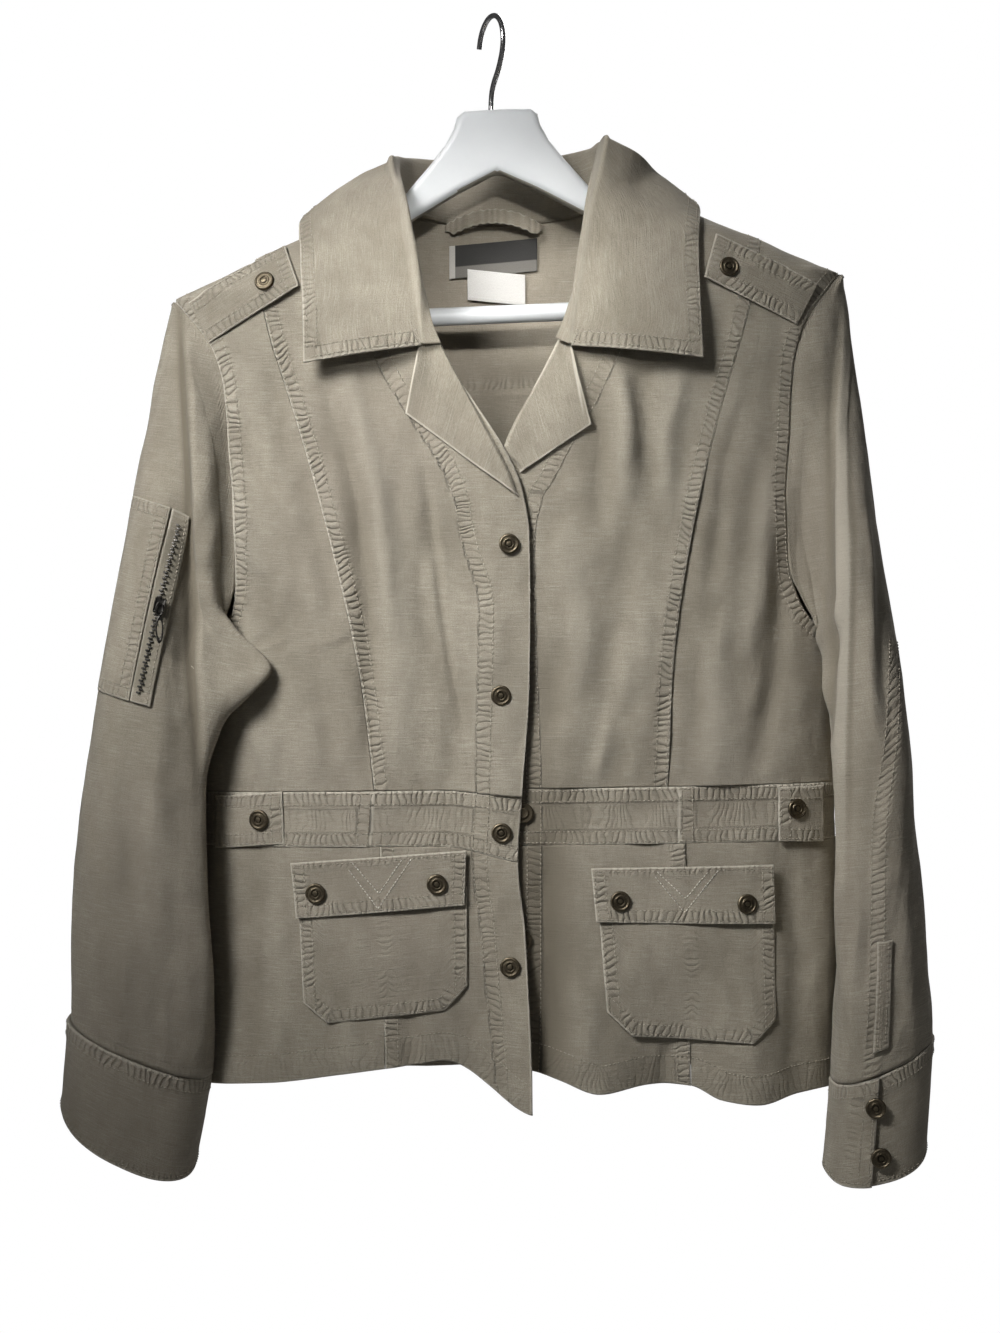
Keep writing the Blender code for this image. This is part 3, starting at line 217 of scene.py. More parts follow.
def tilted(x, z):
    return z + body["tilt"] * x * ramp(body["hemZ"], -0.25, z)


def drooped(x, z, face):
    if face != "R":
        return z
    return z - body["droop"] * ramp(-0.48, -0.76, z) * ramp(-0.058, 0.01, x)


def bodyPoint(w, z, face):
    w, z = np.broadcast_arrays(np.asarray(w, float), np.asarray(z, float))
    part = section(z)
    power = 2 / part["square"]
    x = np.sign(w) * part["halfWidth"] * np.sin(math.pi / 2 * np.abs(w)) ** power
    out = np.cos(math.pi / 2 * np.clip(np.abs(w), 0, 1)) ** power
    depth = out * (part["back"] if face == "B" else part["front"])
    for side, topX, topZ, lowX, lowZ, halfWidth, height in body["folds"]:
        if side != face:
            continue
        t = np.clip((z - topZ) / (lowZ - topZ), 0.0, 1.0)
        envelope = np.sin(math.pi * t) if lowZ > -0.82 else ramp(0.0, 0.55, t)
        depth = depth + height * envelope * np.exp(-((x - topX - t * (lowX - topX)) / halfWidth) ** 2)
    if face == "R":
        depth = depth + body["lap"] * ramp(-0.045, -0.01, x) * ramp(-0.265, -0.315, z)
    if face == "L":
        depth = depth - 0.001 * ramp(0.045, 0.01, x) * ramp(-0.265, -0.315, z)
    y = depth if face == "B" else -depth
    return np.stack([part["centre"] + x, y, tilted(x, drooped(x, z, face))], axis=-1)


def bodyNormal(w, z, face):
    w = np.clip(w, -0.994, 0.994)
    across = bodyPoint(w + 0.003, z, face) - bodyPoint(w - 0.003, z, face)
    up = bodyPoint(w, z + 0.001, face) - bodyPoint(w, z - 0.001, face)
    return unit(np.cross(across, up)) * (-1.0 if face == "B" else 1.0)


def frontPlace(x, z, face):
    # place (w, z) on a front whose point shows at x and z, seen straight on
    level = np.array(z, float)
    for turn in range(8):
        off = x - section(level)["centre"]
        level = level + (z - tilted(off, drooped(off, level, face)))
    return around(x - section(level)["centre"], level), level


def onFront(x, z, face):
    w, level = frontPlace(np.asarray(x, float), np.asarray(z, float), face)
    return bodyPoint(w, level, face), bodyNormal(w, level, face)


# How each kind of edge is sewn: width of the strip, its rise, height of its puckers, paleness of the worn
# edge, drop of the lip, distances of the stitch rows.
edgeKinds = {
    kind: dict(zip(("strip", "rise", "pucker", "pale", "lip", "rows"), values)) for kind, *values in (
        ("over", 0.01, 0.0005, 0.00062, 1.2, 0.0005, (0.0017, 0.0092)),
        ("under", 0.003, -0.0002, 0.0001, 0.0, 0.0, ()),
        ("trim", 0.0092, 0.0003, 0.0005, 1.2, 0.0004, (0.002, 0.0086)),
        ("single", 0.0042, 0.0003, 0.00036, 1.2, 0.0004, (0.0026,)),
        ("hem", 0.02, 0.0003, 0.0002, 0.7, 0.0003, (0.0195,)),
        ("bare", 0.002, 0.0, 0.00012, 1.4, 0.0003, ()),
        ("slack", 0.034, 0.0, 0.00022, 0.0, 0.0, ()),
        ("facing", 0.011, 0.0001, 0.00042, 0.1, 0.0, (0.0006, 0.0102)),
        ("elbow", 0.0042, 0.0004, 0.00048, 0.0, 0.0, (0.0017, 0.0092)),
        ("joined", 0.005, -0.0002, 0.00016, 0.0, 0.0, ()),
        ("showing", 0.004, 0.0002, 0.00022, 0.0, 0.0, ()),
    )
}


def reaches(grid):
    # length of cloth along the grid's rows and columns, in metres
    across = np.linalg.norm(np.diff(grid, axis=1), axis=2)
    along = np.linalg.norm(np.diff(grid, axis=0), axis=2)
    u = np.concatenate([np.zeros((grid.shape[0], 1)), np.cumsum(across, 1)], 1)
    v = np.concatenate([np.zeros((1, grid.shape[1])), np.cumsum(along, 0)], 0)
    return {"u": u, "v": v}


def fromBorder(grid, edge):
    # distance of every point from one border, and how far along that border it lies
    line = {"left": grid[:, 0], "right": grid[:, -1], "low": grid[0], "top": grid[-1]}[edge]
    run = np.concatenate([[0], np.cumsum(np.linalg.norm(np.diff(line, axis=0), axis=1))])
    points = grid.reshape(-1, 3)
    gaps = (points ** 2).sum(1)[:, None] + (line ** 2).sum(1)[None] - 2 * points @ line.T
    near = gaps.argmin(1)
    along = unit(np.gradient(line, axis=0))[near]
    step = points - line[near]
    past = (step * along).sum(1)
    off = np.linalg.norm(step - along * past[:, None], axis=1)
    return off.reshape(grid.shape[:2]), (run[near] + past).reshape(grid.shape[:2])


def unsewn(shape):
    return {name: np.zeros(shape) for name in ("height", "pale", "gather", "second", "run", "off")}


def addStrip(sewing, d, s, kind, seed, only=1.0):
    # one sewn strip: its form goes into the mesh, its fine gathers into the cloth's finish
    sewn = edgeKinds[kind]
    strip = sewn["strip"]
    waves = ripple(s / 0.007 + 7.0 * seed, d / 0.02, seed) * (0.7 + 0.6 * ripple(s / 0.03, 0.3, seed + 70))
    zone = ramp(-0.0004, 0.001, d) * (1 - ramp(strip * 0.72, strip + 0.0034, d))
    height = sewn["rise"] * (1 - ramp(strip * 0.8, strip + 0.0055, d))
    height = height - sewn["lip"] * (1 - ramp(0.0, 0.001, d))
    height = height + 0.4 * sewn["pucker"] * waves * zone
    for row in sewn["rows"]:
        height = height - 0.00018 * np.exp(-((d - row) / 0.0009) ** 2)
    gather = zone * sewn["pucker"] / 0.0008 * only
    sewing["height"] += height * only
    sewing["pale"] += sewn["pale"] * (1 - ramp(0.0006, 0.0016, d)) * only
    more = gather > sewing["gather"]
    sewing["second"] = np.where(more, sewing["gather"], np.maximum(sewing["second"], gather))
    sewing["gather"] = np.where(more, gather, sewing["gather"])
    sewing["run"] = np.where(more, s + 0.37 * seed, sewing["run"])
    sewing["off"] = np.where(more, d, sewing["off"])


def sewnEdges(grid, kinds, seed):
    reach = reaches(grid)
    sewing = unsewn(grid.shape[:2])
    for n, (edge, kind) in enumerate(kinds.items()):
        reach[edge], run = fromBorder(grid, edge)
        reach[edge + "Run"] = run
        addStrip(sewing, reach[edge], run, kind, seed + n)
    return reach, sewing


def softDrape(reach, seed, amount=1.0):
    # broad slackness and small rumples of washed cotton
    u, v = reach["u"], reach["v"]
    return amount * (0.00125 * ripple(u / 0.05 + seed, v / 0.085, seed + 11)
                     + 0.0005 * ripple(u / 0.021, v / 0.034 + seed, seed + 12)
                     + 0.00014 * ripple(u / 0.009, v / 0.012, seed + 13))


def creased(points, rows):
    # soft troughs and ridges between two points seen from the front: x z x z half width height
    x, z = points[..., 0], points[..., 2]
    height = np.zeros(x.shape)
    for x0, z0, x1, z1, halfWidth, rise in rows:
        dx, dz = x1 - x0, z1 - z0
        length = math.hypot(dx, dz)
        along = ((x - x0) * dx + (z - z0) * dz) / length
        off = ((x - x0) * dz - (z - z0) * dx) / length
        share = np.clip(along / length, 0, 1)
        fade = ramp(-0.25 * length, 0.25 * length, along) * ramp(1.25 * length, 0.75 * length, along)
        bend = 0.35 * halfWidth * np.sin(5 * share + 40 * x0)
        height = height + rise * fade * np.exp(-((off - bend) / halfWidth) ** 2)
    return height


def covered(points, quads, margin=0.0025):
    # share of each point that lies under a laid-on piece, seen from the front
    x, z = points[..., 0], points[..., 2]
    hidden = np.zeros(x.shape)
    for quad in quads:
        inside = np.full(x.shape, 1.0)
        corners = np.array(quad)
        middle = corners.mean(0)
        for a, b in zip(corners, np.roll(corners, -1, axis=0)):
            edge = unit(b - a)
            normal = np.array((-edge[1], edge[0]))
            normal = normal if np.dot(middle - a, normal) > 0 else -normal
            depth = (x - a[0]) * normal[0] + (z - a[1]) * normal[1]
            inside = np.minimum(inside, ramp(margin * 0.4, margin * 2.0, depth))
        hidden = np.maximum(hidden, inside)
    return hidden


def spread(count, gather=0.75):
    # shares from 0 to 1, closer together towards both ends
    t = np.linspace(0, 1, count)
    return t - gather * np.sin(2 * math.pi * t) / (2 * math.pi)


def meshFrom(name, points, corners, sizes):
    mesh = bpy.data.meshes.new(name)
    mesh.vertices.add(len(points))
    mesh.vertices.foreach_set("co", points.astype(np.float32).ravel())
    mesh.loops.add(len(corners))
    mesh.loops.foreach_set("vertex_index", corners.astype(np.int32))
    mesh.polygons.add(len(sizes))
    starts = np.concatenate([[0], np.cumsum(sizes)[:-1]])
    mesh.polygons.foreach_set("loop_start", starts.astype(np.int32))
    mesh.polygons.foreach_set("loop_total", sizes.astype(np.int32))
    return mesh


def placed(name, data):
    made = bpy.data.objects.new(name, data)
    bpy.context.scene.collection.objects.link(made)
    return made


def gridMesh(name, outer, inner, step, closed, uv, values):
    # closed thin wall: a fine outer face, an inner face of every step-th point, and rims between them
    rows, cols = outer.shape[:2]
    top = np.arange(rows * cols).reshape(rows, cols)
    keepRows = np.arange(0, rows, step)
    keepCols = np.arange(0, cols, step)
    inner = inner[np.ix_(keepRows, keepCols)]
    far = np.arange(inner.shape[0] * inner.shape[1]).reshape(inner.shape[:2]) + rows * cols

    def quads(index, flip):
        right = np.roll(index, -1, axis=1) if closed else index[:, 1:]
        left = index if closed else index[:, :-1]
        a, b, c, d = left[:-1], right[:-1], right[1:], left[1:]
        order = (a, d, c, b) if flip else (a, b, c, d)
        return np.stack(order, -1).reshape(-1, 4)

    fine, coarse = quads(top, False), quads(far, True)
    rims = []
    spans = len(keepCols) if closed else len(keepCols) - 1
    for j in range(spans):
        k = (j + 1) % len(keepCols)
        run = [top[0, (keepCols[j] + i) % cols] for i in range(step + 1)]
        rims.append(run[::-1] + [far[0, j], far[0, k]])
        run = [top[-1, (keepCols[j] + i) % cols] for i in range(step + 1)]
        rims.append(run + [far[-1, k], far[-1, j]])
    if not closed:
        for i in range(len(keepRows) - 1):
            run = [top[keepRows[i] + n, 0] for n in range(step + 1)]
            rims.append(run + [far[i + 1, 0], far[i, 0]])
            run = [top[keepRows[i] + n, -1] for n in range(step + 1)]
            rims.append(run[::-1] + [far[i, -1], far[i + 1, -1]])
    points = np.concatenate([outer.reshape(-1, 3), inner.reshape(-1, 3)])
    corners = np.concatenate([fine.ravel(), coarse.ravel(), np.array([p for rim in rims for p in rim], int)])
    sizes = np.concatenate([np.full(len(fine) + len(coarse), 4), [len(rim) for rim in rims]]).astype(int)
    mesh = meshFrom(name, points, corners, sizes)
    kept = np.ix_(keepRows, keepCols)
    place = np.concatenate([uv.reshape(rows * cols, -1), uv[kept].reshape(far.size, -1)])
    flat = place[corners]
    if closed and not uv[:, 0, 0].any():  # the last column of faces runs on past the first
        owner = np.repeat(np.arange(len(sizes)), sizes)
        width = np.zeros(len(sizes))
        np.maximum.at(width, owner, flat[:, 0])
        total = place[:, 0].max() * cols / (cols - 1)
        wraps = (flat[:, 0] < 0.25 * total) & (width[owner] > 0.75 * total)
        flat[wraps, 0] += total
    layer = mesh.uv_layers.new(name="cut")
    layer.data.foreach_set("uv", flat.astype(np.float32).ravel())
    for label, field in values.items():
        attribute = mesh.attributes.new(label, "FLOAT", "POINT")
        inside = field[kept] * (step < 3 and label != "pale")
        both = np.concatenate([field.ravel(), inside.ravel()])
        attribute.data.foreach_set("value", both.astype(np.float32))
    mesh.update(calc_edges=True)
    mesh.polygons.foreach_set("use_smooth", np.ones(len(sizes), bool))
    mesh.validate()
    return placed(name, mesh)


def flatCut(grid, closed=False):
    # width, length and area of the piece as cut, before it was sewn and hung
    if closed:
        grid = np.concatenate([grid, grid[:, :1]], axis=1)
    reach = reaches(grid)
    width, length = reach["u"][:, -1].max(), reach["v"][-1].max()
    a, b = grid[1:, 1:] - grid[:-1, :-1], grid[:-1, 1:] - grid[1:, :-1]
    area = np.linalg.norm(np.cross(a, b), axis=2).sum() / 2
    if area < 0.301 * width * length:  # a pointed piece is measured by the box it lies in
        points = grid.reshape(-1, 3) - grid.reshape(-1, 3).mean(0)
        axes = np.linalg.svd(points, full_matrices=False)[2]
        length, width = np.ptp(points @ axes[:2].T, axis=0)
    return float(width), float(length), float(min(area, width * length))


def declareSheet(made, name, base, closed=False):
    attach(made, "jacket")
    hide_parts(name)
    width, length, area = flatCut(base, closed)


def clothPiece(name, base, outer, normal, thick, sewing, look,
               step=3, closed=False, grain="own"):
    # dressed cloth that stands for its solid, as a sheet of its own cut
    reach = reaches(base)
    uv = np.stack([reach["u"], reach["v"]], -1)
    if grain == "level":
        turned = np.sign(base[..., 0]) * np.maximum(0.055 - np.abs(base[..., 1]), 0)
        uv = np.stack([base[..., 0] + turned, base[..., 2]], -1)
    if grain == "sleeve":
        lean = 0.17 * np.sign(base[..., 0])
        uv = np.stack([base[..., 0] + lean * base[..., 2], base[..., 2] - lean * base[..., 0]], -1)
    made = gridMesh("cloth_" + name, outer, outer - normal * thick, step, closed, uv,
                    {"pale": sewing["pale"], "gather": np.maximum(sewing["gather"] - sewing["second"], 0),
                     "run": sewing["run"], "off": sewing["off"]})
    made.data.materials.append(look)
    declareSheet(made, name, base, closed)
    return made


def rowAt(grid, reach, edge, distance):
    # line on a grid at a distance from one border
    cross = edge in ("left", "right")
    count = grid.shape[0] if cross else grid.shape[1]
    far = np.broadcast_to(distance, (count,))
    line = np.empty((count, 3))
    for i in range(count):
        d = reach[edge][i] if cross else reach[edge][:, i]
        points = grid[i] if cross else grid[:, i]
        if edge in ("right", "top"):
            d, points = d[::-1], points[::-1]
        d = np.maximum.accumulate(d) + 1e-9 * np.arange(len(d))
        line[i] = [np.interp(far[i], d, points[:, axis]) for axis in range(3)]
    return line


thread = {"pitch": 0.0031, "length": 0.0024, "radius": 0.00036, "sink": 0.00002}


def sewRow(group, line, normals, pitch=None, hidden=None):
    # one row of stitches laid on the cloth along a line
    pitch = pitch or thread["pitch"]
    run = np.concatenate([[0], np.cumsum(np.linalg.norm(np.diff(line, axis=0), axis=1))])
    if run[-1] < 2 * pitch:
        return
    at = np.arange(0.5 * pitch, run[-1], pitch)

    def read(field, where):
        return np.stack([np.interp(where, run, field[:, axis]) for axis in range(3)], -1)

    half = thread["length"] * pitch / thread["pitch"] / 2
    start, end = read(line, at - half), read(line, at + half)
    out = unit(read(normals, at))
    if hidden is not None:
        show = np.interp(at, run, hidden) < 0.5
        start, end, out = start[show], end[show], out[show]
    stitches.setdefault(group, []).append((start, end, out))


def stitchPiece(name, rows, look):
    start, end, out = (np.concatenate([row[i] for row in rows]) for i in range(3))
    along = end - start
    side = unit(np.cross(along, out)) * thread["radius"]
    up = out * thread["radius"]
    rise = up * 0.9 - out * thread["sink"]
    ring = [side, up, -side, -up]
    points = [start - up * 0.3 + rise * 0.2]
    for share in (0.22, 0.78):
        points += [start + along * share + edge + rise for edge in ring]
    points.append(end - up * 0.3 + rise * 0.2)
    count = len(start)
    points = np.stack(points, 1)
    faces = [(0, 1 + i, 1 + (i + 1) % 4) for i in range(4)]
    faces += [(9, 5 + (i + 1) % 4, 5 + i) for i in range(4)]
    sides = [(1 + i, 5 + i, 5 + (i + 1) % 4, 1 + (i + 1) % 4) for i in range(4)]
    base = (np.arange(count) * 10)[:, None]
    corners = np.concatenate([(base + np.array(faces).ravel()[None]).reshape(count, -1),
                              (base + np.array(sides).ravel()[None]).reshape(count, -1)], 1).ravel()
    sizes = np.tile([3] * 8 + [4] * 4, count)
    mesh = meshFrom(name, points.reshape(-1, 3), corners, sizes)
    mesh.update(calc_edges=True)
    build = bmesh.new()
    build.from_mesh(mesh)
    bmesh.ops.recalc_face_normals(build, faces=build.faces)
    build.to_mesh(mesh)
    build.free()
    mesh.polygons.foreach_set("use_smooth", np.ones(len(sizes), bool))
    mesh.materials.append(look)
    made = placed(name, mesh)
    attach(made, "jacket")
    return made


# Node groups and finishes.
def newGroup(name, inputs, outputs):
    group = bpy.data.node_groups.new(name, "ShaderNodeTree")
    for way, sockets in (("INPUT", inputs), ("OUTPUT", outputs)):
        for kind, labels in sockets.items():
            for label in labels.split():
                group.interface.new_socket(label, in_out=way, socket_type="NodeSocket" + kind)
    return group, group.nodes.new("NodeGroupInput"), group.nodes.new("NodeGroupOutput")


def addNode(tree, kind, links=None, **settings):
    node = tree.nodes.new(kind)
    for key, value in settings.items():
        setattr(node, key, value)
    for socket, source in (links or {}).items():
        if hasattr(source, "is_output"):
            tree.links.new(source, node.inputs[socket])
        else:
            node.inputs[socket].default_value = source
    return node


def maths(tree, operation, a, b=0.0, clamp=False):
    return addNode(tree, "ShaderNodeMath", {0: a, 1: b}, operation=operation, use_clamp=clamp).outputs[0]


def mixColour(tree, share, a, b, blend="MIX"):
    node = addNode(tree, "ShaderNodeMix", {0: share, 6: a, 7: b}, data_type="RGBA", blend_type=blend)
    return node.outputs[2]


def stretchedNoise(tree, vector, scale, detail=2.0, rough=0.55):
    moved = addNode(tree, "ShaderNodeMapping", {"Vector": vector, "Scale": scale}).outputs[0]
    given = {"Vector": moved, "Scale": 1.0, "Detail": detail, "Roughness": rough}
    return addNode(tree, "ShaderNodeTexNoise", given).outputs["Fac"]


def lineNoise(tree, along):
    given = {"W": along, "Scale": 1.0, "Detail": 1.0}
    return addNode(tree, "ShaderNodeTexNoise", given, noise_dimensions="1D").outputs[0]


def spanned(tree, value, low, high, toLow=0.0, toHigh=1.0):
    given = {"Value": value, "From Min": low, "From Max": high, "To Min": toLow, "To Max": toHigh}
    return addNode(tree, "ShaderNodeMapRange", given).outputs[0]


# The cloth's weave: what each noise follows, its scale, detail and roughness, and its share of the height.
weave = {
    "slub": ("Cut", (80.0, 1250.0, 1.0), 3.0, 0.6, 0.85),
    "longSlub": ("Cut", (34.0, 800.0, 1.0), 1.0, 0.5, 0.6),
    "warp": ("Cut", (1500.0, 90.0, 1.0), 2.0, 0.6, 0.5),
    "speck": ("Cut", (1300.0, 1300.0, 1.0), 2.0, 0.6, 0.5),
    "cloud": ("Place", (13.0, 13.0, 9.0), 3.0, 0.6, 0.0),
    "tint": ("Place", (6.0, 6.0, 5.0), 1.0, 0.5, 0.0),
    "slack": ("Place", (34.0, 34.0, 20.0), 1.0, 0.5, 9.0),
    "rumple": ("Place", (95.0, 95.0, 60.0), 3.0, 0.55, 3.0),
}
weaveTones = (  # noise, where its tone starts and is full, share, colour it turns towards
    ("slub", 0.52, 0.74, 0.56, "Faded"), ("longSlub", 0.6, 0.74, 0.4, "Faded"),
    ("slub", 0.46, 0.26, 0.5, "Deep"), ("warp", 0.45, 0.75, 0.3, "Deep"),
    ("speck", 0.45, 0.72, 0.4, "Faded"), ("speck", 0.48, 0.25, 0.4, "Deep"),
    # the slack and rumple tones darken the low parts of those height noises: painted shade in their hollows
    ("cloud", 0.4, 0.66, 0.3, "Deep"), ("slack", 0.56, 0.36, 0.24, "Deep"),
    ("rumple", 0.54, 0.38, 0.18, "Deep"),
)


def slubClothGroup():
    group, given, made = newGroup(
        "slubCloth", {"Vector": "Cut Place", "Float": "Pale Gather Run Off", "Color": "Base Faded Deep"},
        {"Color": "Color", "Float": "Roughness Height"})

    def times(a, b, clamp=False):
        return maths(group, "MULTIPLY", a, b, clamp)

    masks = {}
    for name, (source, scale, detail, rough, share) in weave.items():
        masks[name] = stretchedNoise(group, given.outputs[source], scale, detail, rough)
    # gathers: rounded bumps side by side along a seam, leaning a little, with narrow dark valleys; the bumps
    # also colour the cloth, crests painted lighter and valleys painted darker, as painted highlight and
    # painted shade
    run, off, gather = (given.outputs[name] for name in ("Run", "Off", "Gather"))
    lean = spanned(group, lineNoise(group, times(run, 24.0)), 0.3, 0.7, -0.4, 0.4)
    run = maths(group, "ADD", run, times(off, lean))
    where = addNode(group, "ShaderNodeCombineXYZ", {0: times(run, 75.0), 1: times(off, 90.0)}).outputs[0]
    stray = addNode(group, "ShaderNodeTexNoise", {"Vector": where, "Scale": 1.0, "Detail": 2.0},
                    noise_dimensions="2D").outputs[0]
    turn = maths(group, "ADD", times(run, 690.0), times(stray, 4.2))
    bumps = maths(group, "POWER", maths(group, "ABSOLUTE", maths(group, "SINE", turn)), 0.7)
    bumps = spanned(group, bumps, 0.0, 1.0, -1.0, 0.55)
    bumps = times(bumps, spanned(group, stray, 0.3, 0.7, 0.55, 1.3))
    bumps = times(bumps, gather)
    # painted highlight on the gathers' crests and painted shade in their valleys
    pale = maths(group, "ADD", given.outputs["Pale"], times(bumps, 0.52))
    colour = given.outputs["Base"]
    for name, low, high, share, towards in weaveTones:
        tone = spanned(group, masks[name], low, high, 0.0, share)
        colour = mixColour(group, tone, colour, given.outputs[towards])
    warmth = spanned(group, masks["tint"], 0.45, 0.7, 0.0, 0.26)
    colour = mixColour(group, warmth, colour, (0.375, 0.325, 0.275, 1.0))
    # pale above zero turns the colour paler, below zero darker: worn seam edges, and painted highlight and
    # painted shade from drape, creases, folds and gathers
    colour = mixColour(group, times(pale, 0.72, True), colour, given.outputs["Faded"])
    colour = mixColour(group, times(pale, -0.8, True), colour, given.outputs["Deep"])
    group.links.new(colour, made.inputs["Color"])
    group.links.new(spanned(group, masks["slub"], 0.3, 0.7, 0.86, 0.97), made.inputs["Roughness"])
    height = times(bumps, 1.9)
    for name in ("slub", "warp", "longSlub", "speck", "rumple", "slack"):
        height = maths(group, "ADD", height, times(masks[name], weave[name][-1]))
    group.links.new(height, made.inputs["Height"])
    return group


def newMaterial(name, rough=0.5, metal=0.0):
    material = bpy.data.materials.new(name)
    material.use_nodes = True
    tree = material.node_tree
    shader = tree.nodes["Principled BSDF"]
    shader.inputs["Roughness"].default_value = rough
    shader.inputs["Metallic"].default_value = metal
    return material, tree, shader


def bumped(tree, shader, height, distance, strength=1.0):
    bump = addNode(tree, "ShaderNodeBump", {"Height": height, "Distance": distance, "Strength": strength})
    tree.links.new(bump.outputs[0], shader.inputs["Normal"])


slubCloth = slubClothGroup()


def clothFinish(name, base, fadedAndLit, deep, bump=0.00045):
    material, tree, shader = newMaterial(name, 0.9)
    where = addNode(tree, "ShaderNodeTexCoord")
    woven = addNode(tree, "ShaderNodeGroup", node_tree=slubCloth)
    tree.links.new(where.outputs["UV"], woven.inputs["Cut"])
    tree.links.new(where.outputs["Object"], woven.inputs["Place"])
    for field in ("pale", "gather", "run", "off"):
        sewn = addNode(tree, "ShaderNodeAttribute", attribute_name=field)
        tree.links.new(sewn.outputs["Fac"], woven.inputs[field.capitalize()])
    for socket, colour in (("Base", base), ("Faded", fadedAndLit), ("Deep", deep)):
        woven.inputs[socket].default_value = colour
    tree.links.new(woven.outputs["Color"], shader.inputs["Base Color"])
    tree.links.new(woven.outputs["Roughness"], shader.inputs["Roughness"])
    bumped(tree, shader, woven.outputs["Height"], bump)
    shader.inputs["Sheen Weight"].default_value = 0.12
    shader.inputs["Sheen Roughness"].default_value = 0.6
    shader.inputs["Specular IOR Level"].default_value = 0.18
    return material


def threadFinish(name, colour, dark):
    material, tree, shader = newMaterial(name, 0.8)
    where = addNode(tree, "ShaderNodeTexCoord")
    twist = stretchedNoise(tree, where.outputs["Object"], (700.0, 700.0, 700.0), 2.0)
    shade = mixColour(tree, spanned(tree, twist, 0.35, 0.65), colour, dark)
    tree.links.new(shade, shader.inputs["Base Color"])
    bumped(tree, shader, twist, 0.0002)
    return material


# khaki cloth: base colour; a paler colour for faded yarn, worn edges and painted highlight; a deep colour for
# darker yarn and painted shade
khaki = clothFinish("khakiCotton", (0.372, 0.336, 0.266, 1.0), (0.6, 0.56, 0.472, 1.0),
                    (0.2, 0.176, 0.132, 1.0))
khakiThread = threadFinish("khakiThread", (0.52, 0.475, 0.395, 1.0), (0.35, 0.312, 0.248, 1.0))
paleThread = threadFinish("paleThread", (0.9, 0.87, 0.8, 1.0), (0.76, 0.72, 0.64, 1.0))
print("cloth finish ready")

# Pieces laid on the fronts, four corners seen from the front: top first, low first, low last, top last.
laidOn = {
    "lapel": {
        "R": ((-0.0452, -0.22), (-0.05, -0.243), (-0.0591, -0.289), (0.0195, -0.347)),
        "L": ((0.053, -0.226), (0.056, -0.243), (0.0698, -0.2965), (0.02, -0.33)),
    },
    "epaulette": {
        "R": ((-0.144, -0.169), (-0.1335, -0.199), (-0.197, -0.237), (-0.212, -0.207)),
        "L": ((0.157, -0.162), (0.148, -0.193), (0.214, -0.2243), (0.2295, -0.1945)),
    },
    "side_tab": {
        "R": ((-0.145, -0.551), (-0.1436, -0.5875), (-0.193, -0.592), (-0.1935, -0.555)),
        "L": ((0.2, -0.548), (0.2, -0.586), (0.233, -0.587), (0.233, -0.5475)),
    },
    "flap": {
        "R": ((-0.1385, -0.6006), (-0.1344, -0.6393), (-0.0177, -0.6289), (-0.0164, -0.591)),
        "L": ((0.0692, -0.6034), (0.0726, -0.6406), (0.1968, -0.6434), (0.1961, -0.602)),
    },
    "pocket": {
        "R": ((-0.1335, -0.624), (-0.129, -0.713), (-0.016, -0.7), (-0.0164, -0.616)),
        "L": ((0.074, -0.626), (0.081, -0.718), (0.1975, -0.726), (0.197, -0.628)),
    },
}
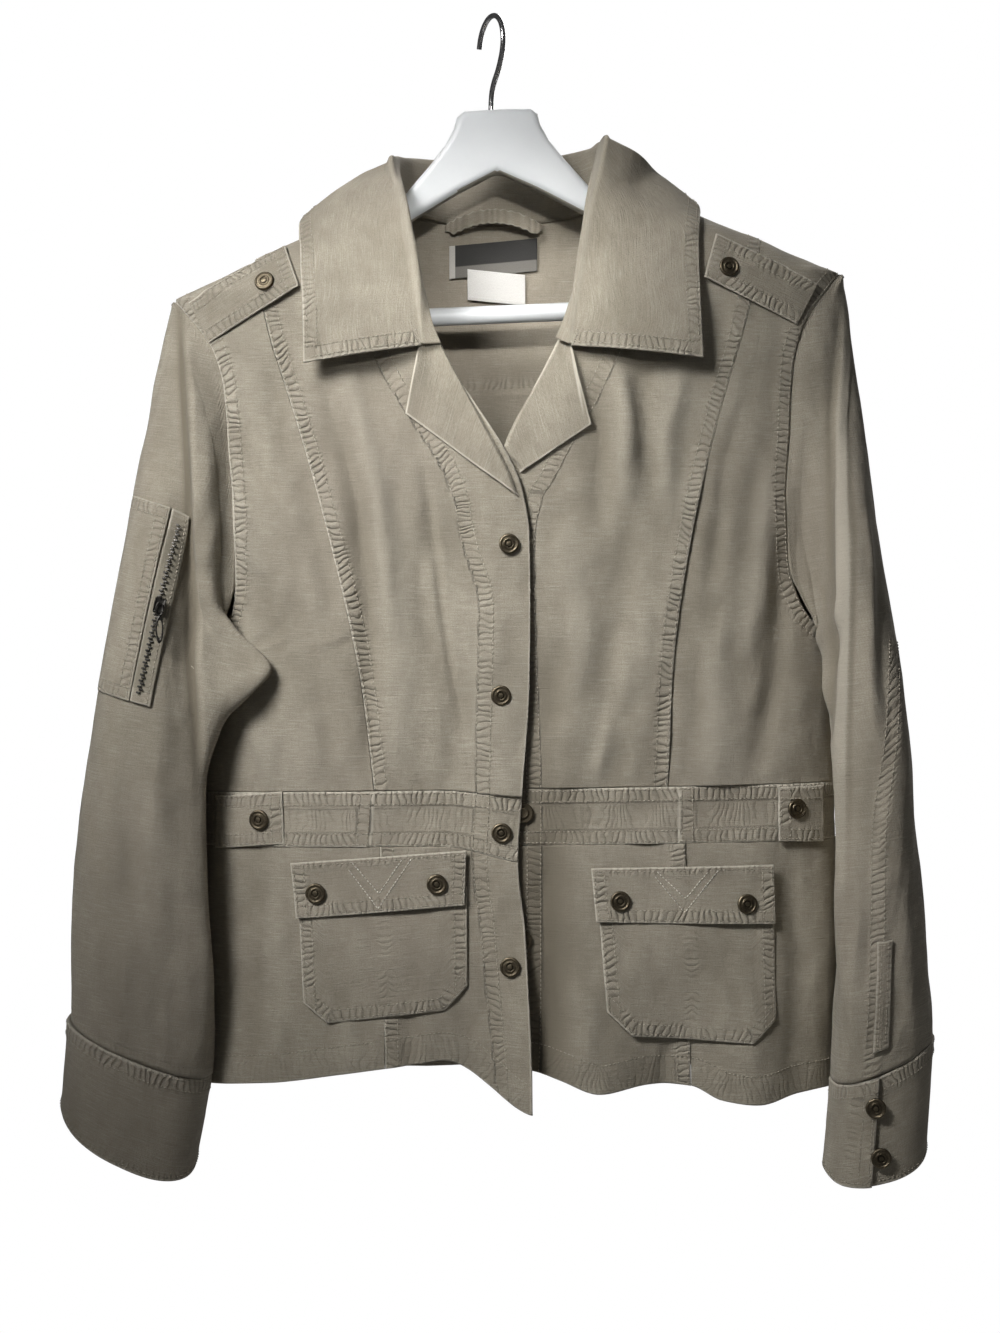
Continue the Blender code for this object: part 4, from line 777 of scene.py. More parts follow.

# Fronts: how finely each panel is drawn, how its borders are sewn, and its creases.
fronts = {
    "bandRows": {  # height, distance of the facing's stitched strip from the front edge
        "R": columns("z d", ((-0.8, 0.03), (-0.549, 0.033), (-0.49, 0.036), (-0.42, 0.036), (-0.36, 0.049),
                             (-0.301, 0.044), (-0.2, 0.044))),
        "L": columns("z d", ((-0.8, 0.032), (-0.42, 0.033), (-0.37, 0.034), (-0.329, 0.041), (-0.263, 0.043),
                             (-0.2, 0.044))),
    },
    "bandWidth": 0.011,
    "waistSeam": {"R": 0.103, "L": 0.128},
    "creases": {
        "R": (
            (-0.112, -0.275, -0.09, -0.395, 0.0075, -0.0022), (-0.098, -0.262, -0.066, -0.42, 0.0085, 0.002),
            (-0.128, -0.33, -0.112, -0.43, 0.0065, -0.0016), (-0.15, -0.255, -0.138, -0.34, 0.009, -0.0018),
            (-0.068, -0.41, -0.06, -0.54, 0.011, 0.0014), (-0.048, -0.33, -0.042, -0.46, 0.008, -0.0012),
            (-0.178, -0.3, -0.15, -0.345, 0.006, -0.0016), (-0.186, -0.345, -0.16, -0.4, 0.007, 0.0018),
            (-0.19, -0.395, -0.165, -0.5, 0.008, -0.003), (-0.172, -0.43, -0.158, -0.54, 0.009, 0.0022),
            (-0.12, -0.46, -0.112, -0.545, 0.006, -0.0014), (-0.09, -0.47, -0.082, -0.545, 0.005, -0.0012),
            (-0.094, -0.319, -0.082, -0.5, 0.0085, -0.0032), (-0.046, -0.34, -0.02, -0.505, 0.0032, -0.0016),
            (-0.03, -0.5, -0.02, -0.545, 0.006, -0.001), (-0.16, -0.6, -0.166, -0.74, 0.011, -0.002),
            (-0.145, -0.64, -0.15, -0.745, 0.008, 0.0014), (-0.06, -0.705, -0.052, -0.745, 0.007, -0.0012),
            (-0.1, -0.705, -0.098, -0.745, 0.006, 0.001), (-0.006, -0.6, 0.002, -0.72, 0.008, -0.0014),
        ),
        "L": (
            (0.072, -0.262, 0.078, -0.36, 0.0085, -0.0026), (0.088, -0.258, 0.098, -0.35, 0.007, 0.0024),
            (0.104, -0.258, 0.112, -0.33, 0.0075, -0.002), (0.128, -0.262, 0.122, -0.35, 0.008, 0.0018),
            (0.06, -0.38, 0.055, -0.54, 0.012, 0.0018), (0.092, -0.38, 0.08, -0.5, 0.01, -0.0016),
            (0.17, -0.3, 0.15, -0.4, 0.008, -0.0018), (0.196, -0.33, 0.18, -0.45, 0.008, 0.0022),
            (0.206, -0.39, 0.19, -0.52, 0.0075, -0.0026), (0.165, -0.43, 0.15, -0.545, 0.01, 0.0016),
            (0.12, -0.47, 0.118, -0.545, 0.006, -0.0014), (0.08, -0.5, 0.074, -0.545, 0.006, 0.0012),
            (0.04, -0.6, 0.036, -0.74, 0.01, -0.0018), (0.06, -0.68, 0.064, -0.75, 0.009, 0.0016),
            (0.21, -0.6, 0.214, -0.745, 0.009, -0.0022), (0.12, -0.728, 0.122, -0.76, 0.006, -0.0012),
        ),
    },
}


def coons(left, right, low, top, v, u):
    # (w, z) grid between four border functions of a share from 0 to 1
    vs, us = v[:, None, None], u[None, :, None]
    sides = (1 - us) * left(v)[:, None] + us * right(v)[:, None]
    ends = (1 - vs) * low(u)[None] + vs * top(u)[None]
    ends0, ends1 = low(np.array([0.0, 1.0])), top(np.array([0.0, 1.0]))
    corners = ((1 - us) * (1 - vs) * ends0[0] + us * (1 - vs) * ends0[1]
               + (1 - us) * vs * ends1[0] + us * vs * ends1[1])
    return sides + ends - corners


def seamLine(cut, low, top, sign=1.0, endW=None):
    def line(t):
        z = low + (top - low) * t
        w = around(sign * lineAt(cut, z), z)
        if endW is not None:
            w = np.where(t > 0.9999, endW, w)
        return np.stack([w, z], -1)
    return line


def straight(start, end):
    return lambda t: np.asarray(start, float) + np.multiply.outer(t, np.subtract(end, start))


def levelLine(fromX, toX, height, endW=None, endZ=None):
    def line(t):
        x = fromX + (toX - fromX) * t
        z = height(x) if callable(height) else np.full(len(x), float(height))
        w = around(x, z)
        if endW is not None:
            w = np.where(t > 0.9999, endW, w)
        if endZ is not None:
            z = np.where(t > 0.9999, endZ, z)
        return np.stack([w, z], -1)
    return line


def backwards(line):
    return lambda t: line(1 - t)


def frontCuts(side):
    # border lines of each front panel, from the front edge outwards, with the sewing of each border
    sign = -1.0 if side == "R" else 1.0
    edge = body["frontEdge"][side]
    edgeX = lambda z: float(lineAt(edge, z))
    princess = body["princess"]
    princessX = lambda z: sign * float(lineAt(princess, z))
    waistTop, waistLow = body["waistTop"], body["waistLow"]
    seamTop = float(shoulderZ(princess["x"][-1]))
    neckZ, tipZ = float(shoulderZ(body["neckX"])), body["shoulderTip"][1]
    hem = body["hem"][side]
    hemAt = lambda x: smoothCurve(hem["x"], hem["z"], x)
    wide = lambda z: sign * float(section(np.array(z))["halfWidth"])

    def armholeSide(t):
        z = waistTop + (tipZ - waistTop) * t
        w = np.where(z > body["underarm"], around(lineAt(body["armhole"], z), z), 1.0)
        return np.stack([sign * np.where(t > 0.9999, 1.0, w), z], -1)

    topX, lowX = (sign * x for x in body["lowerSeam"][side])
    endZ = float(hemAt(edgeX(-0.74)))

    def lowerSeam(t):
        z = float(hemAt(lowX)) + (waistLow - float(hemAt(lowX))) * t
        return np.stack([around(lowX + (topX - lowX) * t, z), z], -1)

    sideHem = float(hemAt(sign * 0.226))
    return {
        "front_centre_upper": (
            seamLine(edge, waistTop, neckZ, endW=sign), seamLine(princess, waistTop, seamTop, sign, sign),
            levelLine(edgeX(waistTop), princessX(waistTop), waistTop),
            straight((sign, neckZ), (sign, seamTop)), (199, 85), ("bare", "over", "under", "under")),
        "front_side_upper": (
            seamLine(princess, waistTop, seamTop, sign, sign), armholeSide,
            levelLine(princessX(waistTop), wide(waistTop), waistTop, sign),
            straight((sign, seamTop), (sign, tipZ)), (190, 52), ("under", "over", "under", "under")),
        "waistband_front": (
            seamLine(edge, waistLow, waistTop), straight((sign, waistLow), (sign, waistTop)),
            levelLine(edgeX(waistLow), wide(waistLow), waistLow, sign),
            levelLine(edgeX(waistTop), wide(waistTop), waistTop, sign),
            (37, 151), ("bare", "under", "over", "over")),
        "front_centre_lower": (
            seamLine(edge, endZ, waistLow), lowerSeam, levelLine(edgeX(endZ), lowX, hemAt),
            levelLine(edgeX(waistLow), topX, waistLow), (97, 73), ("bare", "over", "hem", "under")),
        "front_side_lower": (
            lowerSeam, straight((sign, sideHem), (sign, waistLow)),
            levelLine(lowX, sign * 0.2252, hemAt, sign, sideHem),
            levelLine(topX, wide(waistLow), waistLow, sign), (97, 73), ("under", "under", "hem", "under")),
    }


def smoothed(grid, rounds):
    for turn in range(rounds):
        inner = (grid[:-2, 1:-1] + grid[2:, 1:-1] + grid[1:-1, :-2] + grid[1:-1, 2:]) / 4
        grid = grid.copy()
        grid[1:-1, 1:-1] = inner
    return grid


def drawnIn(grid, by):
    # borders drawn in a little, so that sewn pieces stay apart
    grid = grid.copy()
    grid[:, 0] += unit(grid[:, 1] - grid[:, 0]) * by
    grid[:, -1] += unit(grid[:, -2] - grid[:, -1]) * by
    grid[0] += unit(grid[1] - grid[0]) * by
    grid[-1] += unit(grid[-2] - grid[-1]) * by
    return grid


def bodyPanel(name, face, grid, kinds, seed, creases=(), hideQuads=(), band=None, insets=(), step=3):
    w, z = grid[..., 0], grid[..., 1]
    base, normal = bodyPoint(w, z, face), bodyNormal(w, z, face)
    reach, sewing = sewnEdges(base, kinds, seed)
    rows = [(edge, row) for edge, kind in kinds.items() for row in edgeKinds[kind]["rows"]]
    if band is not None:  # the facing's two stitch rows and the gathers between them
        edge, lines = band
        inner = lineAt(lines, z[:, 0 if edge == "left" else -1], "d")
        off = inner[:, None] - reach[edge]
        only = ramp(-0.003, 0.0, off) * ramp(0.024, 0.016, off)
        addStrip(sewing, off, reach[edge + "Run"], "facing", seed + 31, only)
        rows += [(edge, inner - 0.0006), (edge, inner - fronts["bandWidth"] + 0.0008)]
    for edge, distance, kind in insets:  # a sewn line across the panel, at a distance from one border
        off = reach[edge] - distance
        addStrip(sewing, off, reach[edge + "Run"], kind, seed + 37, ramp(-0.0012, 0.0, off))
        rows += [(edge, distance + row) for row in edgeKinds[kind]["rows"]]
    hidden = covered(base, hideQuads)
    drape = softDrape(reach, seed) + 1.5 * creased(base, creases)
    height = sewing["height"] + drape
    # the colour follows the drape: painted shade in its troughs and painted highlight on its ridges; the
    # back's worn edges are weaker
    sewing["pale"] = sewing["pale"] * (0.25 if face == "B" else 1.0) + np.clip(105 * drape, -0.44, 0.22)
    if face == "L" and band is not None:  # painted shadow of the lapped front, darker close to the front edge and lower down
        sewing["pale"] -= 1.1 * ramp(0.072, 0.034, reach["left"]) * ramp(-0.36, -0.62, z)
    height = height * (1 - hidden) + np.minimum(height, -0.0004) * hidden
    sewing["gather"] = sewing["gather"] * (1 - hidden)
    outer = base + normal * height[..., None]
    limit = 0.0003
    outer[..., 1] = np.maximum(outer[..., 1], limit) if face == "B" else np.minimum(outer[..., 1], -limit)
    outer = drawnIn(outer, body["gap"])
    if name == "back_upper":  # the seam's allowance lies inside, up against the yoke
        outer[-1] += (0, -0.0021, 0.0026)
        outer[-2] += (0, -0.0012, 0.0006)
    group = "Back" if face == "B" else "Front"
    for edge, row in rows:
        shut = rowAt(np.repeat(hidden[..., None], 3, 2), reach, edge, row)[:, 0]
        sewRow(group, rowAt(outer, reach, edge, row), rowAt(normal, reach, edge, row), hidden=shut)
    rests = [hungFrom(name)]
    clothPiece(name, base, outer, normal, body["wall"], sewing, khaki, step=step, grain="level")


seamAbove = {
    "waistband_front": "front_centre_upper",
    "front_centre_lower": "waistband_front",
    "front_side_lower": "waistband_front",
    "waistband_back": "back_upper",
    "back_lower": "waistband_back",
}


def hungFrom(name):
    stem, side = (name[:-2], name[-2:]) if name.startswith(("front", "waistband_front")) else (name, "")
    return seamAbove[stem] + side if stem in seamAbove else "hanger_body"


def drawFronts():
    for side in ("R", "L"):
        hide = [laidOn[kind][side] for kind in ("epaulette", "side_tab", "flap", "pocket", "lapel")]
        for n, (name, (first, last, low, top, counts, sewing)) in enumerate(frontCuts(side).items()):
            waist, centre = "waist" in name, "centre" in name
            v = spread(counts[0], 0.6 if waist else 0.35)
            u = spread(counts[1], 0.3 if waist else 0.45 if centre else 0.82)
            edges = dict(zip(("left", "right", "low", "top"), sewing))
            if side == "R":
                first, last, low, top = last, first, backwards(low), backwards(top)
                edges["left"], edges["right"] = edges["right"], edges["left"]
            inner = "right" if side == "R" else "left"
            band = (inner, fronts["bandRows"][side]) if centre or waist else None
            insets = ()
            if waist:  # the princess seam runs on through the waistband
                insets = (("low", 0.0, "slack"), (inner, fronts["waistSeam"][side], "over"))
            grid = coons(first, last, low, top, v, u)
            if "side_upper" in name:
                grid = smoothed(grid, 14)
            bodyPanel(f"{name}_{side}", side, grid, edges, 100 + 10 * n + (5 if side == "L" else 0),
                      fronts["creases"][side], hide, band, insets)
    print("fronts sewn")


backCreases = (
    (-0.05, -0.275, -0.056, -0.38, 0.008, -0.002), (0.03, -0.275, 0.026, -0.36, 0.007, 0.0018),
    (-0.13, -0.3, -0.11, -0.52, 0.014, 0.0022), (0.11, -0.3, 0.1, -0.5, 0.013, -0.0022),
    (0.16, -0.34, 0.15, -0.54, 0.011, 0.002), (-0.17, -0.36, -0.16, -0.54, 0.011, -0.0022),
    (-0.02, -0.4, -0.01, -0.54, 0.015, 0.0016), (-0.1, -0.6, -0.11, -0.745, 0.011, 0.0018),
    (0.04, -0.6, 0.05, -0.745, 0.011, -0.0018), (0.14, -0.61, 0.15, -0.745, 0.01, 0.002),
)


def drawBack():
    tipZ, neckZ = body["shoulderTip"][1], float(shoulderZ(body["neckX"]))
    armhole = body["armhole"]
    hole = lambda z: around(lineAt(armhole, z) + 0.004, z)
    across = lambda z, reach: (lambda t: np.stack([reach * (2 * t - 1), np.full(len(t), float(z))], -1))
    mirrored = lambda line: (lambda t: line(t) * (-1, 1))

    def neck(t):
        fold = 2 * t - 1
        z = body["backNeck"] + (neckZ - body["backNeck"]) * np.abs(fold) ** 3
        w = np.where(np.abs(fold) > 0.9999, np.sign(fold), around(body["neckX"] * fold, z))
        return np.stack([w, z], -1)

    def yokeSide(t):  # up the armhole, then in along the shoulder
        z = body["yoke"] + (tipZ - body["yoke"]) * np.clip(t / 0.5, 0, 1)
        w = np.where(t < 0.4999, hole(z), 1.0)
        z = np.where(t < 0.5, z, tipZ + (neckZ - tipZ) * np.clip((t - 0.5) / 0.5, 0, 1))
        return np.stack([w, z], -1)

    def upperSide(t):
        z = body["waistTop"] + (body["yoke"] - body["waistTop"]) * t
        return np.stack([np.where(z > body["underarm"] + 0.0005, hole(z), 1.0), z], -1)

    atYoke = float(hole(np.array(body["yoke"])))
    even = {"left": "over", "right": "over", "low": "over", "top": "under"}
    plain = {"left": "under", "right": "under", "low": "under", "top": "under"}
    yoke, waistTop, waistLow, hemZ = (body[name] for name in ("yoke", "waistTop", "waistLow", "backHemZ"))
    bandSide, lowSide = straight((1, waistLow), (1, waistTop)), straight((1, hemZ), (1, waistLow))
    cuts = (
        ("back_yoke", yokeSide, across(yoke, atYoke), neck, (67, 169), even, 2),
        ("back_upper", upperSide, across(waistTop, 1), across(yoke, atYoke), (97, 169), plain, 2),
        ("waistband_back", bandSide, across(waistLow, 1), across(waistTop, 1), (31, 229),
         dict(plain, low="over", top="over"), 3),
        ("back_lower", lowSide, across(hemZ, 1), across(waistLow, 1), (73, 169), dict(plain, low="hem"), 3),
    )
    for n, (name, outside, low, top, counts, sewing, step) in enumerate(cuts):
        grid = coons(mirrored(outside), outside, low, top, spread(counts[0], 0.5), spread(counts[1], 0.25))
        bodyPanel(name, "B", grid, sewing, 300 + 10 * n, backCreases, step=step)
    print("back sewn")


# Sleeves: rings after the armhole, both ends seen from the front, depths, and folds.
ringNames = "outerX outerZ innerX innerZ middleY depth bow drop wing ridge"
sleeves = {
    "cuffRow": 11,
    "clear": 0.0055,
    "flushRows": 36,
    "hang": {"R": 0.011, "L": 0.013},
    "hangs": {"R": (-0.38, -0.445, -0.64, -0.71), "L": (-0.24, -0.36, -0.6, -0.72)},
    # darkness of the painted shade line along each sleeve's crease
    "creaseLine": {"R": 1.55, "L": 0.85},
    "rings": {
        "R": columns(ringNames, (
            (-0.23, -0.213, -0.2135, -0.461, -0.001, 0.039, 0.032, 0.0, 0.01, 0.002),
            (-0.236, -0.243, -0.215, -0.468, -0.004, 0.043, 0.0265, 0.0, 0.032, 0.004),
            (-0.2434, -0.29, -0.215, -0.479, -0.009, 0.0455, 0.0205, 0.0, 0.056, -0.0055),
            (-0.2525, -0.34, -0.2135, -0.491, -0.014, 0.047, 0.015, 0.0, 0.048, -0.0015),
            (-0.2617, -0.396, -0.21, -0.507, -0.018, 0.0475, 0.01, 0.0, 0.024, 0.001),
            (-0.2709, -0.449, -0.207, -0.524, -0.022, 0.047, 0.005, 0.0, 0.006, 0.0),
            (-0.2779, -0.495, -0.2045, -0.544, -0.025, 0.046, 0.002, 0.0, 0.0, 0.0),
            (-0.2857, -0.552, -0.2025, -0.581, -0.028, 0.044, 0.0, 0.0, 0.0, 0.0),
            (-0.2906, -0.601, -0.2005, -0.627, -0.03, 0.043, 0.0, 0.0, 0.0, 0.0),
            (-0.2942, -0.654, -0.196, -0.69, -0.031, 0.041, 0.0, 0.003, 0.0, 0.0),
            (-0.2956, -0.7085, -0.196, -0.749, -0.031, 0.037, 0.0, 0.006, 0.0, 0.0),
            (-0.3019, -0.769, -0.2074, -0.812, -0.031, 0.036, 0.0, 0.018, 0.0, 0.0),
        )),
        "L": columns(ringNames, (
            (0.2525, -0.196, 0.246, -0.455, -0.001, 0.039, 0.035, 0.0, 0.004, -0.001),
            (0.2575, -0.233, 0.249, -0.464, -0.003, 0.044, 0.03, 0.0, 0.008, -0.0045),
            (0.2626, -0.2757, 0.2505, -0.476, -0.007, 0.049, 0.023, 0.0, 0.01, -0.004),
            (0.2683, -0.3253, 0.251, -0.489, -0.013, 0.053, 0.0165, 0.0, 0.008, 0.004),
            (0.2754, -0.389, 0.25, -0.504, -0.02, 0.056, 0.0105, 0.0, 0.004, 0.0025),
            (0.2824, -0.4527, 0.249, -0.521, -0.027, 0.057, 0.005, 0.0, 0.0, 0.0),
            (0.288, -0.505, 0.248, -0.544, -0.033, 0.057, 0.0015, 0.0, 0.0, 0.0),
            (0.2925, -0.555, 0.247, -0.589, -0.037, 0.056, 0.0, 0.0, 0.0, 0.0),
            (0.2975, -0.605, 0.2445, -0.634, -0.039, 0.054, 0.0, 0.0, 0.0, 0.0),
            (0.3037, -0.665, 0.2415, -0.694, -0.039, 0.05, 0.0, 0.002, 0.0, 0.0),
            (0.3086, -0.718, 0.237, -0.751, -0.038, 0.044, 0.0, 0.004, 0.0, 0.0),
            (0.3037, -0.796, 0.232, -0.813, -0.038, 0.042, 0.0, 0.012, 0.0, 0.0),
        )),
    },
    # the long crease on the front of each sleeve: height, where it runs, how deep it folds
    "crease": {
        "R": columns("z x depth", (
            (-0.575, -0.2, 0.0), (-0.512, -0.2004, 0.0056), (-0.45, -0.2045, 0.0086),
            (-0.409, -0.2055, 0.0092), (-0.352, -0.2065, 0.0088), (-0.286, -0.2106, 0.007),
            (-0.217, -0.2167, 0.0036), (-0.19, -0.219, 0.0),
        )),
        "L": columns("z x depth", (
            (-0.64, 0.233, 0.0), (-0.56, 0.235, 0.003), (-0.51, 0.2365, 0.005), (-0.4185, 0.2388, 0.006),
            (-0.304, 0.2395, 0.0052), (-0.242, 0.245, 0.003), (-0.196, 0.248, 0.0),
        )),
    },
    "creases": {
        "R": (
            (-0.258, -0.5, -0.246, -0.64, 0.01, -0.0022), (-0.232, -0.48, -0.226, -0.6, 0.008, 0.002),
            (-0.275, -0.56, -0.268, -0.69, 0.009, 0.0018), (-0.22, -0.61, -0.214, -0.72, 0.008, -0.0018),
            (-0.206, -0.39, -0.19, -0.43, 0.0055, -0.0026), (-0.204, -0.41, -0.186, -0.448, 0.006, 0.0026),
            (-0.2, -0.3, -0.196, -0.37, 0.005, 0.0014), (-0.236, -0.26, -0.24, -0.33, 0.008, 0.0014),
            (-0.25, -0.64, -0.255, -0.715, 0.007, 0.0018), (-0.232, -0.66, -0.228, -0.73, 0.006, -0.0016),
        ),
        "L": (
            (0.2545, -0.348, 0.2636, -0.516, 0.005, 0.003), (0.262, -0.35, 0.27, -0.5, 0.006, -0.0024),
            (0.26, -0.52, 0.256, -0.66, 0.006, -0.002), (0.28, -0.42, 0.286, -0.56, 0.007, 0.002),
            (0.288, -0.56, 0.293, -0.69, 0.007, -0.0018), (0.25, -0.6, 0.248, -0.72, 0.0055, 0.002),
            (0.27, -0.6, 0.264, -0.64, 0.006, 0.0016), (0.284, -0.64, 0.286, -0.715, 0.006, 0.0018),
            (0.24, -0.42, 0.23, -0.45, 0.005, 0.0026), (0.239, -0.44, 0.231, -0.475, 0.0045, -0.0026),
        ),
    },
    # the puckered elbow seam that shows on the left sleeve
    "elbow": columns("z x", (
        (-0.722, 0.264), (-0.65, 0.266), (-0.586, 0.2665), (-0.502, 0.277), (-0.446, 0.282),
    )),
}


def clearOfBody(points, by):
    x, y, z = points[..., 0], points[..., 1], points[..., 2]
    off = x - section(z)["centre"]
    flat = z - body["tilt"] * off * ramp(body["hemZ"], -0.25, z)
    part = section(flat)
    square = part["square"]
    wide, deep = part["halfWidth"] + by, np.where(y < 0, part["front"], part["back"]) + by
    inside = (np.abs(off) / wide) ** square + (np.abs(y) / deep) ** square
    push = np.where(inside < 1, np.maximum(inside, 1e-6) ** (-1 / square), 1.0)
    aroundSide = np.stack([part["centre"] + off * push, y * push, z], axis=-1)
    share = np.clip(np.abs(off) / wide, 0.0, 1.0)
    clothY = deep * (1 - share ** square) ** (1 / square)
    hole = lineAt(body["armhole"], flat) + np.where(y < 0, 0.0, 0.004)
    near = ramp(0.012, 0.001, np.abs(off) - hole)
    overSeam = points.copy()
    overSeam[..., 1] += (np.sign(y) * np.maximum(np.abs(y), clothY) - y) * near
    below = ramp(body["underarm"] + 0.006, body["underarm"] - 0.008, flat)[..., None]
    return overSeam * (1 - below) + aroundSide * below


def sleeveRings(side, angle):
    # every table row's ring, read at the given angles (rows, columns)
    sign = -1.0 if side == "R" else 1.0
    along, front = np.cos(angle), np.sin(angle)
    tipZ, underarm = body["shoulderTip"][1], body["underarm"]
    holeZ = underarm + (tipZ - underarm) * (1 + along) / 2
    holeX = lineAt(body["armhole"], holeZ) + np.where(front < 0, 0.004, 0.0)
    holeW = sign * np.where(np.abs(front) < 1e-6, 1.0, around(holeX, holeZ))
    first = np.where((front >= 0)[..., None], bodyPoint(holeW, holeZ, side), bodyPoint(holeW, holeZ, "B"))
    first[..., 0] += sign * 0.0008
    rings = [first]
    cut = sleeves["rings"][side]
    reach = np.sign(along) * np.abs(along) ** 0.85
    swell = np.abs(front) ** 0.85
    nose = np.exp(-((angle - math.radians(146)) / math.radians(19)) ** 2)
    starts, full, last, end = sleeves["hangs"][side]
    hangs = ramp(starts, full, cut["outerZ"]) * ramp(end, last, cut["outerZ"])
    sag = np.exp(-((angle - math.radians(140)) / math.radians(26)) ** 2)
    for k in range(len(cut["outerX"])):
        row = {name: values[k] for name, values in cut.items()}
        x = (row["outerX"] * (1 + reach) + row["innerX"] * (1 - reach)) / 2
        z = (row["outerZ"] * (1 + reach) + row["innerZ"] * (1 - reach)) / 2
        y = row["middleY"] - np.sign(front) * row["depth"] * swell
        x = x - sign * row["bow"] * swell ** 2 - sign * row["wing"] * nose
        x = x - sign * sleeves["hang"][side] * sag * hangs[k]
        y = y - 0.35 * row["wing"] * nose - row["ridge"] * np.where(front > 0, swell, 0.3 * swell)
        rings.append(np.stack([x, y, z - row["drop"] * front], axis=-1))
    return np.array(rings)


def through(p0, p1, p2, p3, t):
    # smooth curve from p1 to p2
    return 0.5 * (2 * p1 + (p2 - p0) * t + (2 * p0 - 5 * p1 + 4 * p2 - p3) * t ** 2
                  + (3 * p1 - p0 - 3 * p2 + p3) * t ** 3)


def sleeveSurface(side, at, angle):
    # smooth sleeve at places along it; angle is one list for all places or a list for each
    at = np.asarray(at, float)
    angle = np.broadcast_to(angle, (len(at), np.shape(angle)[-1]))
    rings = sleeveRings(side, angle)  # table row, place, angle
    k = np.clip(at.astype(int), 0, len(rings) - 2)
    t = (at - k)[:, None, None]
    here = np.arange(len(at))
    last = len(rings) - 1
    p0, p1 = rings[np.maximum(k - 1, 0), here], rings[k, here]
    p2, p3 = rings[k + 1, here], rings[np.minimum(k + 2, last), here]
    flow = through(p0, p1, p2, p3, t)
    fade = ramp(0.0, 0.6, at)[:, None, None]
    return flow * (1 - fade) + clearOfBody(flow, sleeves["clear"]) * fade


def ringNormals(rings, side):
    aroundRing = np.roll(rings, -1, axis=1) - np.roll(rings, 1, axis=1)
    return unit(np.cross(aroundRing, np.gradient(rings, axis=0))) * (-1.0 if side == "R" else 1.0)


def drawSleeve(side):
    at = sleeves["cuffRow"] * (np.linspace(0, 1, 250) ** 1.12)
    shares = np.linspace(0, 1, 106)[:-1]
    if side == "R":  # finer towards the fold under the arm
        shares = 1 - (1 - shares) ** 1.45
    angle = np.concatenate([shares * math.pi, np.linspace(math.pi, 2 * math.pi, 49)[:-1]])
    angle = np.broadcast_to(angle[None], (len(at), len(angle)))
    base = sleeveSurface(side, at, angle)
    rows = sleeves["flushRows"]  # the cloth leaves the armhole flush, without a rolled edge
    run = reaches(base)["v"].mean(axis=1)
    share = (run[:rows] / run[rows])[:, None, None]
    keep = ramp(0.1, 0.55, np.sin(angle[:rows]))[..., None]
    base[:rows] += ((1 - share) * base[0] + share * base[rows] - base[:rows]) * keep
    normal = ringNormals(base, side)
    reach = reaches(base)
    front = np.sin(angle) > 0
    length = reach["v"].mean(axis=1)
    along = np.broadcast_to(length[:, None], angle.shape)
    sewing = unsewn(angle.shape)
    for d, seed in ((along, 401), (length[-1] - along, 402)):
        addStrip(sewing, d, reach["u"], "joined", seed + (7 if side == "L" else 0))
    if side == "L":
        seam = sleeves["elbow"]
        off = base[..., 0] - lineAt(seam, base[..., 2])
        shown = ramp(seam["z"][-1] + 0.012, seam["z"][-1] - 0.006, base[..., 2]) * front
        only = shown * ramp(-0.011, -0.008, off) * ramp(0.005, 0.001, off)
        addStrip(sewing, np.abs(off + 0.004), along, "elbow", 433, only)
    height = sewing["height"] + softDrape(reach, 440 if side == "R" else 450, 1.2)
    facing = ramp(-0.2, 0.2, np.sin(angle))
    behind = 0.6 * creased(base + (0.006, 0, 0.03), sleeves["creases"][side])
    height = height + facing * creased(base, sleeves["creases"][side]) + (1 - facing) * behind
    fold = sleeves["crease"][side]
    depth = lineAt(fold, base[..., 2], "depth") * ramp(0.0, 0.3, np.sin(angle))
    span = base[..., 0] - lineAt(fold, base[..., 2])
    gap = np.abs(span)
    over = ramp(-0.004, 0.004, span)  # the part on the image's right lies on top
    height = height + 0.62 * depth * (over * np.exp(-gap / 0.034) - 0.6 * (1 - over) * np.exp(-gap / 0.01))
    ease = ramp(0.0, 0.02, along)
    height = height * (0.2 + 0.8 * ease) - 0.0005 * ramp(0.01, 0.0, along)
    # painted shade along the crease: a dark line just beside it and darker cloth on the side that lies under,
    # with a faint painted highlight on the edge lying on top
    line = sleeves["creaseLine"][side] * np.exp(-((span + 0.0034) / 0.0034) ** 2)
    shade = 0.6 * (1 - over) * np.exp(-gap / 0.009) + line
    sewing["pale"] += (0.1 * over * np.exp(-gap / 0.004) - shade) * depth / 0.008
    if side == "L":  # a narrow flat fold lies along the crease
        # the fold's strip is painted lighter and a line along its far side painted darker: painted highlight
        # and painted shade; the strip is also raised a little
        fold = 0.55 * ramp(0.0, 0.0016, span) * ramp(0.0092, 0.0074, span)
        fold = fold - 0.6 * np.exp(-((span - 0.01) / 0.0016) ** 2)
        sewing["pale"] += fold * depth / 0.005
        height = height + 0.001 * ramp(0.0, 0.0016, span) * ramp(0.01, 0.0076, span) * depth / 0.005
    outer = base + normal * height[..., None]
    outer[0] -= 0.0016 * normal[0]  # tucked in under the armhole's edge
    outer[0] += unit(base[0] - base[2]) * 0.0035 * np.abs(np.sin(angle[0]))[:, None]
    hold = ramp(0.04, 0.018, along) * front
    outer[..., 1] -= hold * np.maximum(outer[..., 1] - outer[:1, :, 1] - 0.0006, 0)
    clothPiece(f"sleeve_{side}", base, outer, normal, body["wall"], sewing, khaki,
               closed=True, grain="sleeve")
    if side == "L":
        for shift in (-0.0085, -0.0002):
            z = np.linspace(seam["z"][0], seam["z"][-1], 120)
            sewOnTree("Sleeve", treeOf(outer, True), lineAt(seam, z) + shift, z)
    return outer


